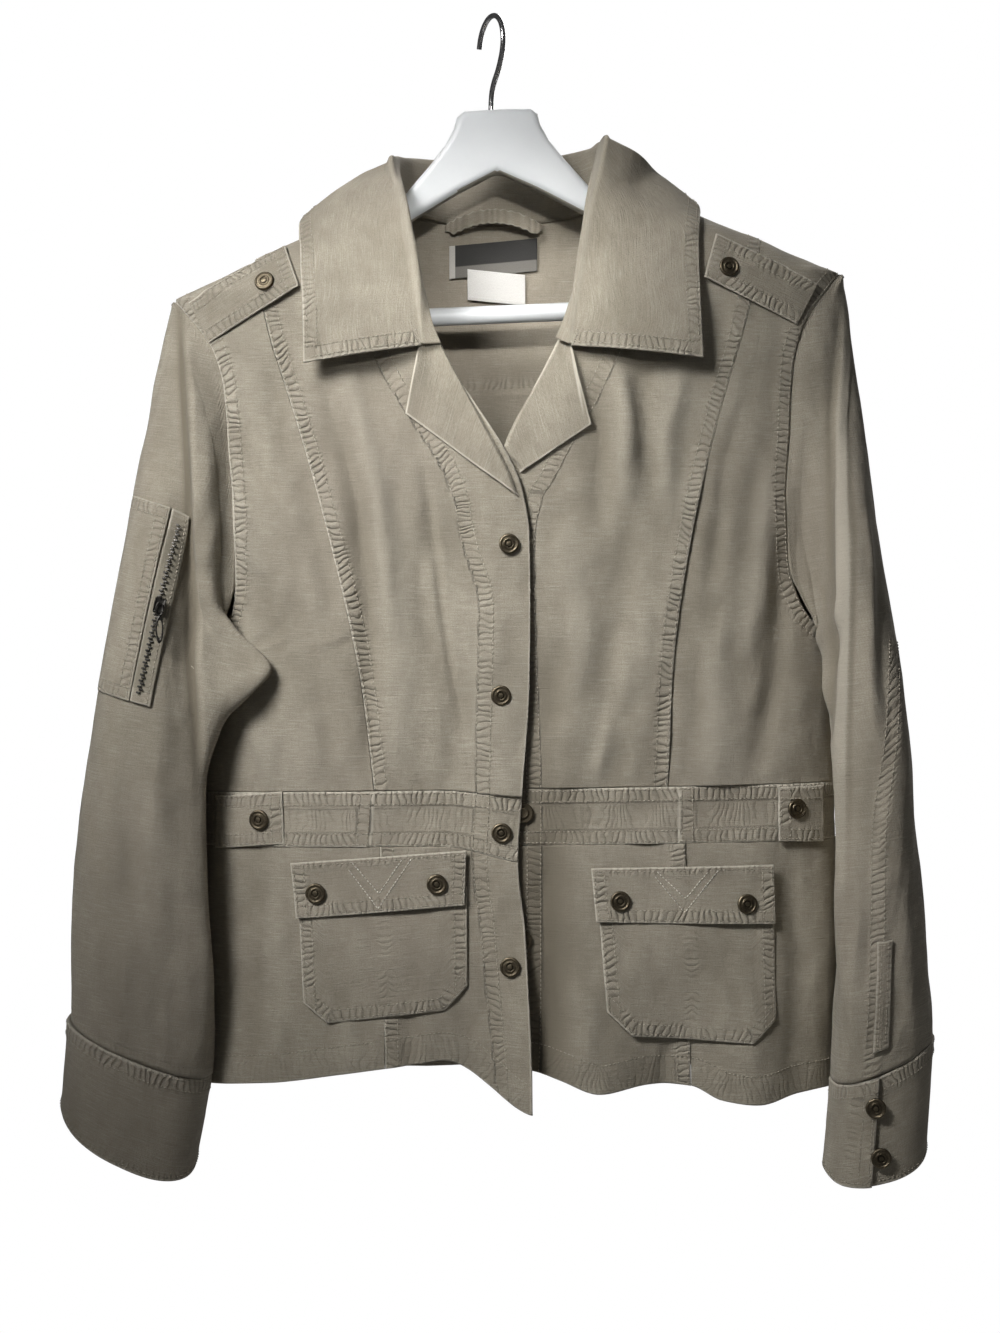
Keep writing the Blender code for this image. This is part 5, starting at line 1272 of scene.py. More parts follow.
def treeOf(grid, closed=False):
    rows, cols = grid.shape[:2]
    index = np.arange(rows * cols).reshape(rows, cols)
    right = np.roll(index, -1, axis=1) if closed else index[:, 1:]
    left = index if closed else index[:, :-1]
    faces = np.stack([left[:-1], right[:-1], right[1:], left[1:]], -1).reshape(-1, 4)
    return BVHTree.FromPolygons([tuple(p) for p in grid.reshape(-1, 3)], [tuple(f) for f in faces.tolist()])


def fromFront(tree, x, z):
    x, z = np.broadcast_arrays(np.asarray(x, float), np.asarray(z, float))
    found = np.empty(x.shape + (3,))
    for place in np.ndindex(*x.shape):
        hit = tree.ray_cast(Vector((x[place], -1.0, z[place])), Vector((0, 1, 0)))[0]
        if hit is None:
            hit = tree.find_nearest(Vector((x[place], -0.06, z[place])))[0]
        found[place] = hit
    return found


def facingNormals(points):
    normal = unit(np.cross(np.gradient(points, axis=1), np.gradient(points, axis=0)))
    return normal * np.where(normal[..., 1:2] > 0, -1.0, 1.0)


def sewOnTree(group, tree, x, z, pitch=None):
    # a row of stitches on whatever cloth the tree holds, seen from the front
    line = fromFront(tree, x, z)
    normals = np.tile(np.array((0.0, -1.0, 0.0)), (len(line), 1))
    for i, point in enumerate(line):
        found = tree.find_nearest(Vector(point))[1]
        if found is not None:
            normals[i] = found if found.y < 0 else -found
    kernel = np.ones(5) / 5
    for axis in range(3):
        normals[:, axis] = np.convolve(np.pad(normals[:, axis], 2, mode="edge"), kernel, mode="valid")
    sewRow(group, line, unit(normals), pitch)


# Cuffs wrap once round and overlap, as the solids do.
cuffs = {
    "wall": 0.0022,
    "start": {"L": 100, "R": 262},
    "overlap": 24,
    "lift": 0.0038,
    "rows": 43,
    "turns": 202,
    "sewing": {"left": "single", "right": "single", "low": "over", "top": "single"},
}


def drawCuff(side):
    at = np.linspace(sleeves["cuffRow"], sleeves["cuffRow"] + 1, cuffs["rows"])
    turn = np.linspace(0, 2 * math.pi + math.radians(cuffs["overlap"]), cuffs["turns"])
    ring = np.linspace(0, 2 * math.pi, 360, endpoint=False)
    rings = sleeveSurface(side, at, ring)
    normals = ringNormals(rings, side)
    place = ((math.radians(cuffs["start"][side]) + turn) / (2 * math.pi) * 360) % 360
    low = np.floor(place).astype(int)
    share = (place - low)[None, :, None]
    read = lambda field: field[:, low % 360] * (1 - share) + field[:, (low + 1) % 360] * share
    out = unit(read(normals))
    base = read(rings) + out * (cuffs["lift"] * ramp(math.radians(70), 0.0, turn))[None, :, None]
    base[0, :, 2] -= 0.0008
    reach, sewing = sewnEdges(base, cuffs["sewing"], 500 + (side == "L"))
    height = np.clip(sewing["height"] + softDrape(reach, 510 + (side == "L"), 0.8), -0.0009, 0.0016)
    outer = base + out * height[..., None]
    for edge, row in (("low", 0.0017), ("low", 0.009), ("top", 0.003), ("left", 0.0028), ("left", 0.0095)):
        sewRow("Sleeve", rowAt(outer, reach, edge, row), rowAt(out, reach, edge, row))
    clothPiece(f"cuff_{side}", base, outer, out, cuffs["wall"], sewing, khaki, step=3)


drawFronts()
drawBack()
sleeveOuter = {side: drawSleeve(side) for side in ("R", "L")}
for side in ("R", "L"):
    drawCuff(side)
print("sleeves and cuffs sewn")

# Collar rows from the right tip round the back to the left: place on the neck seam, roll line, outer edge.
collar = {
    "gorge": -0.239,
    "cad": 0.0016,
    "round": 0.0022,
    "count": 337,
    "stitchRows": (0.003, 0.01),
    "rows": columns("place rollX rollY rollZ edgeX edgeY edgeZ", (
        (-2.0, -0.0475, -0.06, -0.2385, -0.129, -0.06, -0.2545),
        (-1.66, -0.053, -0.056, -0.19, -0.13, -0.056, -0.212),
        (-1.31, -0.0605, -0.045, -0.144, -0.133, -0.035, -0.172),
        (-1.0, -0.069, -0.004, -0.103, -0.133, -0.008, -0.145),
        (-0.75, -0.061, 0.026, -0.095, -0.113, 0.042, -0.145),
        (-0.4, -0.035, 0.042, -0.093, -0.064, 0.06, -0.162),
        (0.0, 0.006, 0.046, -0.092, 0.006, 0.063, -0.168),
        (0.4, 0.046, 0.042, -0.09, 0.078, 0.06, -0.157),
        (0.75, 0.072, 0.026, -0.088, 0.128, 0.042, -0.137),
        (1.0, 0.079, -0.004, -0.092, 0.147, -0.008, -0.135),
        (1.31, 0.069, -0.045, -0.142, 0.145, -0.035, -0.164),
        (1.66, 0.062, -0.056, -0.188, 0.1445, -0.056, -0.206),
        (2.0, 0.055, -0.06, -0.2385, 0.1465, -0.06, -0.251),
    )),
}


def flowing(values, at):
    # smooth read between rows of a table
    values = np.asarray(values, float)
    at = np.asarray(at, float)
    k = np.clip(at.astype(int), 0, len(values) - 2)
    t = at - k
    p0, p1 = values[np.maximum(k - 1, 0)], values[k]
    p2, p3 = values[k + 1], values[np.minimum(k + 2, len(values) - 1)]
    return through(p0, p1, p2, p3, t)


def neckSeam(place):
    neckZ = float(shoulderZ(body["neckX"]))
    if abs(place) <= 1:
        z = body["backNeck"] + (neckZ - body["backNeck"]) * abs(place) ** 3
        w = np.clip(around(body["neckX"] * place, z), -0.995, 0.995)
        return bodyPoint(w, z, "B") - bodyNormal(w, z, "B") * collar["cad"] + (0, 0, 0.0009)
    side = "R" if place < 0 else "L"
    down = abs(place) - 1
    z = neckZ + (collar["gorge"] - neckZ) * down
    edge = body["frontEdge"][side]
    at = bodyPoint(around(float(lineAt(edge, z)), z), z, side)
    return at + ((0.0014 if side == "R" else -0.0014), 0.0012 - 0.005 * ramp(0.55, 0.9, down), 0.0004)


def drawCollar():
    cut = collar["rows"]
    count = collar["count"]
    at = np.linspace(0, len(cut["place"]) - 1, count)
    roll = np.stack([flowing(cut["roll" + axis], at) for axis in "XYZ"], -1)
    edge = np.stack([flowing(cut["edge" + axis], at) for axis in "XYZ"], -1)
    place = np.interp(at, np.arange(len(cut["place"])), cut["place"])
    neck = np.array([neckSeam(here) for here in place])
    away = unit((edge - neck) * (1, 1, 0))
    rows = []
    bend = (collar["round"] * ramp(2.02, 1.55, np.abs(place)) + 0.0006)[:, None]
    for t in np.linspace(0, 1, 13):
        rows.append(neck * (1 - t) + (roll - away * bend) * t - (0, 0, 0.003 * t))
    for turn in np.linspace(165, 15, 13):
        over = away * math.cos(math.radians(turn)) + np.array((0, 0, 1.0)) * math.sin(math.radians(turn))
        rows.append(roll + over * bend - (0, 0, 0.003))
    ends = np.abs(np.linspace(-1, 1, count))
    for t in spread(53, 0.55):
        outside = roll + away * bend - (0, 0, 0.004)
        bulge = math.sin(math.pi * t)
        arch = 0.008 * bulge * np.exp(-((np.abs(place) - 1.12) / 0.22) ** 2)
        full = np.stack([0 * arch, -0.006 * bulge * ramp(0.5, 1.0, ends), arch], -1)
        rows.append(outside * (1 - t) + edge * t + full)
    grid = np.array(rows)
    fall = np.arange(len(grid))[:, None] > 20
    side = np.where(grid[..., 0] < 0.006, -1, 1)
    for sign, face in ((-1, "R"), (1, "L")):  # the fall lies on the fronts
        under, out = onFront(grid[..., 0], np.minimum(grid[..., 2], -0.128), face)
        cutLine = body["frontEdge"][face]
        off = grid[..., 0] - section(grid[..., 2])["centre"]
        past = np.abs(off) > np.abs(lineAt(cutLine, grid[..., 2])) - 0.003
        rise = np.where(fall, 0.0046, 0.0036)
        lies = (side == sign) & (grid[..., 1] < 0) & (fall | (past & (np.arange(len(grid))[:, None] > 2)))
        grid[..., 1] = np.where(lies, np.minimum(grid[..., 1], under[..., 1] - rise), grid[..., 1])
    grid[2:-1] = smoothed(grid, 6)[2:-1]
    normal = unit(np.cross(np.gradient(grid, axis=1), np.gradient(grid, axis=0)))
    if normal[-1, count // 2, 1] < 0:
        normal = -normal
    turned = np.cross(grid[-1, 201] - grid[-1, 200], grid[-1, 200] - grid[-2, 200])[1]
    flip = normal[-1, count // 2, 1] * turned < 0
    reach, sewing = sewnEdges(grid, {"left": "trim", "right": "trim", "top": "trim", "low": "under"}, 600)
    rows = len(grid)
    outside = ramp(16, 30, np.arange(rows))[:, None]
    within = np.clip(softDrape(reach, 621, 0.6), -0.0004, 0.0005)
    height = (sewing["height"] + softDrape(reach, 620, 1.0)) * outside + within * (1 - outside)
    sewing["gather"] = sewing["gather"] * outside
    sewing["pale"] = sewing["pale"] * outside + 0.3 * np.exp(-((np.arange(rows)[:, None] - 19) / 5.0) ** 2)
    base = grid + normal * collar["cad"]
    outer = base + normal * height[..., None]
    for edge in ("top", "left", "right"):
        for row in collar["stitchRows"]:
            line = rowAt(outer, reach, edge, row)
            out = rowAt(normal, reach, edge, row)
            show = slice(27, -6) if edge != "top" else slice(8, -8)
            sewRow("Collar", line[show], out[show])
    if flip:
        outer, normal, base = (field[:, ::-1] for field in (outer, normal, base))
        sewing = {name: field[:, ::-1] for name, field in sewing.items()}
    clothPiece("collar", base, outer, normal, 0.0015, sewing, khaki, 2)
    print("collar turned")


drawCollar()


def cornersGrid(corners, v, u):
    topA, lowA, lowB, topB = (np.array(c) for c in corners)
    v, u = v[..., None], u[..., None]
    return (1 - v) * ((1 - u) * lowA + u * lowB) + v * ((1 - u) * topA + u * topB)


# Laid-on pieces: rows and columns drawn, height of the underside, sewing of first, last, low and top border,
# and what each lies on.
laidLook = {
    "rollOut": {"R": np.array((0.0022, 0.0)), "L": np.array((-0.0165, 0.0008))},
    "lapel": ((61, 79), 0.0013, ("bare", "bare", "bare", "under"), "front_centre_upper"),
    "epaulette": ((37, 73), 0.0013, ("trim", "under", "trim", "trim"), "front_side_upper"),
    "side_tab": ((40, 52), 0.0008, ("trim", "under", "trim", "trim"), "waistband_front"),
    "pocket": ((85, 103), 0.0008, ("trim", "trim", "trim", "under"), "front_centre_lower"),
    "flap": ((43, 103), 0.0032, ("trim", "trim", "trim", "single"), "pocket"),
}
chevrons = {  # the double V sewn on each flap: start, point, end of each line
    "R": (((-0.096, -0.5996), (-0.0772, -0.621), (-0.061, -0.5969)),
          ((-0.0985, -0.6044), (-0.0778, -0.6312), (-0.0545, -0.5964))),
    "L": (((0.1147, -0.6055), (0.1347, -0.6245), (0.1513, -0.605)),
          ((0.1133, -0.609), (0.134, -0.6342), (0.1577, -0.605))),
}


def drawLaid(kind, side):
    (rows, cols), under, (first, last, low, top), rests = laidLook[kind]
    v, u = np.broadcast_arrays(spread(rows, 0.5)[:, None], spread(cols, 0.5)[None, :])
    corners = laidOn[kind][side]
    if kind == "pocket":  # low corners cut off, softly rounded
        width = np.linalg.norm(np.subtract(corners[2], corners[1]))
        tall = np.linalg.norm(np.subtract(corners[0], corners[1]))
        short = np.maximum(0, 0.016 / width - np.minimum(u, 1 - u)) * width / tall
        v = v * (1 - short) + short
    flat = cornersGrid(corners, v, u)
    if kind == "lapel":  # the roll runs out to the front edge before it turns in at the break
        swing = (ramp(0.0, 0.85, u) * ramp(1.0, 0.85, u))[..., None]
        flat = flat + v[..., None] ** 2 * laidLook["rollOut"][side] * swing
    base, normal = onFront(flat[..., 0], flat[..., 1], side)
    mirrored = np.cross(base[0, -1] - base[0, 0], base[-1, 0] - base[0, 0])[1] > 0
    lift = np.full(u.shape, under + 0.0013)
    reach, sewing = sewnEdges(base, {"left": first, "right": last, "low": low, "top": top},
                              700 + 7 * len(kind) + (3 if side == "L" else 0))
    height = sewing["height"] + softDrape(reach, 720 + len(kind) + (side == "L"), 0.7)
    if kind == "pocket":  # the panel's seam shows through as faint gathers
        middle = np.abs(reach["u"] - 0.51 * reach["u"][:, -1:])
        addStrip(sewing, middle, reach["v"], "showing", 741)
        full = np.sin(math.pi * u) ** 0.7 * np.sin(math.pi * np.clip(v, 0, 1)) ** 0.6
        lift = lift + 0.0016 * full - 0.0006 * ramp(0.8, 1.0, v)
    if kind == "flap":
        lift = lift + 0.0011 * (1 - ramp(0.0, 0.35, v)) * (0.6 + 0.4 * np.sin(9 * u + 1.5))
    if kind == "lapel":
        lift = lift + 0.0034 * ramp(0.55, 0.0, v) * ramp(1.0, 0.25, u)
    lift = np.maximum(lift, 0.0016)
    outer = base + normal * (lift + np.maximum(height, -0.0009))[..., None]
    if kind == "lapel":  # the roll turns under along the last rows
        outer[..., 1] += 0.0022 * ramp(0.955, 1.0, v)
    hidden = covered(base, [laidOn["flap"][side]] if kind == "pocket" else [], 0.001)
    if mirrored:
        outer, normal, base, hidden = (field[:, ::-1] for field in (outer, normal, base, hidden))
        sewing = {name: field[:, ::-1] for name, field in sewing.items()}
        reach = {name: field[:, ::-1] for name, field in reach.items()}
        reach["left"], reach["right"] = reach["right"], reach["left"]
        first, last = last, first
    for edge, sewn in (("left", first), ("right", last), ("low", low), ("top", top)):
        for row in edgeKinds[sewn]["rows"]:
            line = rowAt(outer, reach, edge, row)
            inset = row / (reach["v"].max() if edge in ("left", "right") else reach["u"].max())
            trim = int(inset * len(line) * 0.5) + 1
            out = rowAt(normal, reach, edge, row)
            seen = rowAt(np.repeat(hidden[..., None], 3, 2), reach, edge, row)[:, 0]
            sewRow("Pocket", line[trim:-trim], out[trim:-trim], hidden=seen[trim:-trim])
    clothPiece(f"{kind}_{side}", base, outer, normal, 0.0012, sewing, khaki, 3)
    if kind == "flap":
        tree = treeOf(outer)
        for start, point, end in chevrons[side]:
            start, point, end = np.array(start), np.array(point), np.array(end)
            line = np.concatenate([start + (point - start) * np.linspace(0, 1, 40)[:, None],
                                   point + (end - point) * np.linspace(0, 1, 40)[1:, None]])
            sewOnTree("Chevron", tree, line[:, 0], line[:, 1], 0.0026)


for side in ("R", "L"):
    for kind in ("lapel", "epaulette", "side_tab", "pocket", "flap"):
        drawLaid(kind, side)
print("laid-on pieces sewn")

# Sleeve pieces, four corners seen from the front, lying on the dressed sleeves.
onSleeve = {
    "sleeve_pocket": {
        "side": "R", "size": (121, 40), "lift": 0.0016, "sewing": ("under", "trim", "trim", "trim"),
        "corners": ((-0.2505, -0.344), (-0.2726, -0.4805), (-0.248, -0.488), (-0.2225, -0.354)),
    },
    "zip_tape": {
        "side": "R", "size": (109, 19), "lift": 0.0022, "sewing": ("bare", "single", "bare", "bare"),
        "corners": ((-0.2215, -0.3545), (-0.247, -0.488), (-0.233, -0.492), (-0.2095, -0.36)),
    },
    "sleeve_placket_L": {
        "side": "L", "size": (76, 16), "lift": 0.0024, "sewing": ("single", "single", "bare", "single"),
        "corners": ((0.262, -0.65), (0.26, -0.727), (0.27, -0.722), (0.271, -0.648)),
    },
}
tapeCloth = clothFinish("zipTape", (0.3, 0.275, 0.215, 1.0), (0.38, 0.355, 0.29, 1.0),
                        (0.19, 0.17, 0.13, 1.0), 0.00025)


def drawOnSleeve(name):
    look = onSleeve[name]
    rows, cols = look["size"]
    v, u = np.broadcast_arrays(spread(rows, 0.3)[:, None], spread(cols, 0.3)[None, :])
    flat = cornersGrid(look["corners"], v, u)
    tree = treeOf(sleeveOuter[look["side"]], True)
    base = fromFront(tree, flat[..., 0], flat[..., 1])
    depth = base[..., 1].copy()
    for turn in range(12):  # lies straight over small rumples, never into them
        eased = smoothed(base, 1)
        base[..., 1] = np.minimum(eased[..., 1], depth + 0.0002)
    normal = facingNormals(base)
    mirrored = np.cross(base[0, -1] - base[0, 0], base[-1, 0] - base[0, 0])[1] > 0
    first, last, low, top = look["sewing"]
    reach, sewing = sewnEdges(base, {"left": first, "right": last, "low": low, "top": top}, 760 + len(name))
    sewing["pale"] *= 0.55
    outer = base + normal * (look["lift"] + np.clip(sewing["height"], -0.0007, 0.0014))[..., None]
    for edge, sewn in (("left", first), ("right", last), ("low", low), ("top", top)):
        for row in edgeKinds[sewn]["rows"]:
            sewRow("Sleeve", rowAt(outer, reach, edge, row)[1:-1], rowAt(normal, reach, edge, row)[1:-1])
    if mirrored:
        outer, normal, base = (field[:, ::-1] for field in (outer, normal, base))
        sewing = {name: field[:, ::-1] for name, field in sewing.items()}
    made = clothPiece(name, base, outer, normal, 0.0011, sewing, tapeCloth if name == "zip_tape" else khaki,
                      3)
    if name == "zip_tape":  # square cloth tabs close both ends
        made.data.materials.append(khaki)
        for face in made.data.polygons:
            x, y, z = face.center
            top = look["corners"][0][1] + (x - look["corners"][0][0]) * -0.46
            atEnd = top - z < 0.015 or z < -0.478 - 0.28 * (x + 0.247)
            face.material_index = 1 if atEnd else 0


for name in onSleeve:
    drawOnSleeve(name)
print("sleeve pieces sewn")


def metalFinish(name, colour, dark, rough, wear=0.5, scale=900.0):
    # worn metal: brighter on rubbed spots, dull and darker in between
    material, tree, shader = newMaterial(name, rough, 1.0)
    where = addNode(tree, "ShaderNodeTexCoord").outputs["Object"]
    spots = stretchedNoise(tree, where, (scale, scale, scale), 3.0)
    cloud = stretchedNoise(tree, where, (160.0, 160.0, 160.0), 2.0)
    shade = mixColour(tree, spanned(tree, spots, 0.35, 0.65, 0.0, wear), colour, dark)
    shade = mixColour(tree, spanned(tree, cloud, 0.42, 0.7, 0.0, 0.6), shade, dark)
    tree.links.new(shade, shader.inputs["Base Color"])
    tree.links.new(spanned(tree, spots, 0.3, 0.7, rough - 0.08, rough + 0.14), shader.inputs["Roughness"])
    bumped(tree, shader, spots, 0.00012)
    return material


brass = metalFinish("antiqueBrass", (0.2, 0.168, 0.116, 1.0), (0.07, 0.058, 0.04, 1.0), 0.42)
darkBrass = metalFinish("sunkBrass", (0.04, 0.034, 0.025, 1.0), (0.018, 0.015, 0.011, 1.0), 0.5)
gunmetal = metalFinish("gunmetal", (0.075, 0.072, 0.066, 1.0), (0.028, 0.027, 0.025, 1.0), 0.36)
steel = metalFinish("polishedSteel", (0.66, 0.66, 0.67, 1.0), (0.42, 0.42, 0.43, 1.0), 0.2, 0.3, 500.0)


def editFaces(pick):
    # selects faces of the mesh in edit mode by a test on each face
    build = bmesh.from_edit_mesh(bpy.context.object.data)
    for face in build.faces:
        face.select = bool(pick(face))
    bmesh.update_edit_mesh(bpy.context.object.data)


def softEdges(piece, width, segments=3, angle=30.0):
    soften = piece.modifiers.new("softEdges", "BEVEL")
    soften.width = width
    soften.segments = segments
    soften.limit_method = "ANGLE"
    soften.angle_limit = math.radians(angle)
    bpy.context.view_layer.objects.active = piece
    bpy.ops.object.modifier_apply(modifier=soften.name)


def finishRigid(piece, matrix, riding, stands):
    piece.data.transform(matrix)
    piece.data.update()
    bpy.ops.object.select_all(action="DESELECT")
    piece.select_set(True)
    bpy.context.view_layer.objects.active = piece
    bpy.ops.object.shade_smooth_by_angle(angle=math.radians(42))
    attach(piece, riding)
    if stands:
        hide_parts(stands)
    piece.select_set(False)
    return piece


# A snap cap and a snap stud, turned from rings: width taken off and height gained at each step.
snaps = {
    "radius": 0.007,
    "cap": ((0.00045, 0.00055), (0.0008, 0.00025), (0.0007, -0.0006), (0.0011, 0.00005), (0.0004, 0.00065),
            (0.0007, 0.0), (0.0003, -0.0009), (0.0005, 0.0), (0.0002, 0.0008)),
    "stud": ((0.0006, 0.0004), (0.0014, -0.0003), (0.001, 0.0), (0.0003, 0.0011), (0.0006, 0.0003),
             (0.0006, -0.0002)),
    "base": 0.0011,
}


def turnedSnap(name, steps):
    tall = snaps["base"]
    bpy.ops.mesh.primitive_cylinder_add(vertices=36, radius=snaps["radius"], depth=tall, end_fill_type="NGON",
                                        location=(0, 0, tall / 2))
    piece = bpy.context.object
    piece.name = name
    bpy.ops.object.transform_apply(location=True, rotation=False, scale=False)
    bpy.ops.object.mode_set(mode="EDIT")
    bpy.ops.mesh.select_mode(type="FACE")
    editFaces(lambda face: face.normal.z > 0.9)
    for thickness, depth in steps:
        bpy.ops.mesh.inset(thickness=thickness, depth=depth)
    bpy.ops.object.mode_set(mode="OBJECT")
    softEdges(piece, 0.00016, 2, 35.0)
    piece.data.materials.append(brass)
    piece.data.materials.append(darkBrass)
    for face in piece.data.polygons:
        reach = math.hypot(face.center.x, face.center.y)
        sunk = 0.0012 < reach < 0.0022 and face.center.z < 0.002
        face.material_index = 1 if sunk else 0
    return piece


def axesMatrix(axisX, axisY, axisZ, at):
    return Matrix([[axisX[i], axisY[i], axisZ[i], at[i]] for i in range(3)] + [[0, 0, 0, 1]])


def snapFrame(node):
    # place and turn of a snap's solid, from its points
    points = np.array([v.co for v in nodes[node].data.vertices])
    middle = points.mean(0)
    normal = np.linalg.svd(points - middle)[2][2]
    normal = normal if normal[1] < 0 else -normal
    base = middle + normal * ((points - middle) @ normal).min()
    side = unit(np.cross((0.0, 0.0, 1.0), normal))
    up = np.cross(normal, side)
    return axesMatrix(side, up, normal, base)


models = {"cap": turnedSnap("snapModel", snaps["cap"]), "stud": turnedSnap("studModel", snaps["stud"])}
for n, node in enumerate(sorted(name for name in nodes if name.startswith(("snap_", "stud_")))):
    model = models["stud" if node.startswith("stud") else "cap"]
    piece = placed("metal_" + node, model.data.copy())
    finishRigid(piece, snapFrame(node) @ Matrix.Rotation(0.7 * n, 4, "Z"), "jacket", node)
for model in models.values():
    bpy.data.objects.remove(model, do_unlink=True)
print("snaps set")

# Zip: a toothed line, slider and pull. Sizes of one tooth, the slider's shell, and the pull's link and tab.
zipParts = {
    "line": ((-0.216, -0.365), (-0.2405, -0.483)),
    "tooth": (0.003, 0.0013, 0.0012),
    "pitch": 0.0021,
    "rise": 0.003,
    "slider": (0.011, 0.008, 0.003),
    "tab": (0.016, 0.0042, 0.001),
    "ring": (0.0032, 0.00065),
}


def stretched(name, size):
    # names the new model, stretches it in edit mode and gives it its metal
    piece = bpy.context.object
    piece.name = name
    bpy.ops.object.mode_set(mode="EDIT")
    bpy.ops.mesh.select_all(action="SELECT")
    bpy.ops.transform.resize(value=size)
    bpy.ops.object.mode_set(mode="OBJECT")
    piece.data.materials.append(gunmetal)
    return piece


def blockModel(name, size, bevel):
    bpy.ops.mesh.primitive_cube_add(size=1)
    piece = stretched(name, size)
    softEdges(piece, bevel)
    return piece


def drawZip():
    tree = treeOf(sleeveOuter["R"], True)
    start, end = zipParts["line"]
    count = int(math.hypot(end[0] - start[0], end[1] - start[1]) / zipParts["pitch"])
    t = (np.arange(count) + 0.5) / count
    line = fromFront(tree, start[0] + (end[0] - start[0]) * t, start[1] + (end[1] - start[1]) * t)
    for axis in range(3):
        line[2:-2, axis] = np.convolve(line[:, axis], np.ones(5) / 5, mode="valid")
    along = unit(np.gradient(line, axis=0))
    out = unit(np.array((-0.12, -0.99, 0.0)))
    pieces = []
    for i in range(count):
        side = unit(np.cross(out, along[i]))
        sign = 1 if i % 2 else -1
        at = line[i] + out * zipParts["rise"] + side * 0.0007 * sign
        tooth = blockModel("tooth", zipParts["tooth"], 0.00025)
        tooth.data.transform(axesMatrix(side, along[i], out, at))
        pieces.append(tooth)
    bpy.ops.object.select_all(action="DESELECT")
    for tooth in pieces:
        tooth.select_set(True)
    bpy.context.view_layer.objects.active = pieces[0]
    bpy.ops.object.join()
    teeth = bpy.context.object
    teeth.name = "metal_zip_teeth"
    finishRigid(teeth, Matrix.Identity(4), "jacket", "zip_teeth")


drawZip()


def drawSlider():
    joint = next(j for j in frame["joints"] if j["name"] == "zip_pull_hinge")
    pivot, hinge = np.array(joint["pos_m"]), unit(np.array(joint["axis"], float))
    lo, hi = (np.array(corner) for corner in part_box("zip_slider"))
    pullLo, pullHi = (np.array(corner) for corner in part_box("zip_pull"))
    down = unit((pullLo + pullHi) / 2 - pivot)
    out = unit(np.cross(hinge, down))
    out = out if out[1] < 0 else -out
    start, end = (np.array(point) for point in zipParts["line"])
    along = unit(np.array((end[0] - start[0], 0.0, end[1] - start[1])))
    along = unit(along - out * np.dot(along, out))
    slider = blockModel("metal_zip_slider", zipParts["slider"], 0.0012)
    bpy.ops.object.mode_set(mode="EDIT")
    editFaces(lambda face: face.normal.z > 0.9)
    bpy.ops.mesh.inset(thickness=0.0012, depth=-0.0006)
    bpy.ops.object.mode_set(mode="OBJECT")
    lies = axesMatrix(along, np.cross(out, along), out, (lo + hi) / 2)
    finishRigid(slider, lies, "jacket", "zip_slider")
    for name, wide, thick, segments, size, away, stands in (
            ("metal_zip_link", *zipParts["ring"], (36, 12), (1.35, 0.78, 1.0), 0.003, None),
            ("metal_zip_pull", *zipParts["tab"][1:], (48, 14),
             (zipParts["tab"][0] / (2 * zipParts["tab"][1]), 0.52, 0.9), 0.0168, "zip_pull")):
        bpy.ops.mesh.primitive_torus_add(major_radius=wide, minor_radius=thick,
                                         major_segments=segments[0], minor_segments=segments[1])
        link = stretched(name, size)
        hangs = axesMatrix(down, hinge, np.cross(down, hinge), pivot + down * away)
        finishRigid(link, hangs, "pull_tab", stands)


drawSlider()
print("zip set")

# Inside the neck: gathered loop, blank label and blank tag.
neckPieces = {
    "loop": {"halfWidth": 0.036, "middle": 0.002, "low": -0.1405, "rise": 0.01, "tall": 0.0104, "deep": 0.039,
             "bow": 0.012},
    "neck_label": {"x": (-0.0428, 0.022), "z": (-0.1755, -0.1515), "lift": 0.0008, "thick": 0.0009,
                   "lean": 0.0032, "tab": 0.0043},
    "care_tag": {"x": (-0.0295, 0.013), "z": (-0.196, -0.1735), "lift": 0.0026, "thick": 0.0009,
                 "lean": -0.006, "tab": 0.0},
}


def wovenLabelFinish(name, ground, band, bandTop):
    # plain woven label with a paler band along its lower part
    material, tree, shader = newMaterial(name, 0.85)
    where = addNode(tree, "ShaderNodeTexCoord").outputs["UV"]
    grain = stretchedNoise(tree, where, (2600.0, 900.0, 1.0), 2.0)
    along, height = addNode(tree, "ShaderNodeSeparateXYZ", {0: where}).outputs[:2]
    low = spanned(tree, height, bandTop + 0.0004, bandTop - 0.0004)
    shade = mixColour(tree, low, ground, band)
    shade = mixColour(tree, spanned(tree, along, 0.0001, -0.0001), shade, (0.62, 0.6, 0.56, 1.0))
    worn = spanned(tree, grain, 0.3, 0.7, 0.0, 0.35)
    shade = mixColour(tree, worn, shade, (0.5, 0.49, 0.47, 1.0), "MULTIPLY")
    tree.links.new(shade, shader.inputs["Base Color"])
    bumped(tree, shader, grain, 0.0003)
    return material


labelLook = {
    "neck_label": wovenLabelFinish("darkLabel", (0.045, 0.044, 0.042, 1.0), (0.22, 0.21, 0.19, 1.0), 0.0085),
    "care_tag": wovenLabelFinish("whiteTag", (0.8, 0.79, 0.76, 1.0), (0.74, 0.73, 0.7, 1.0), 0.002),
}


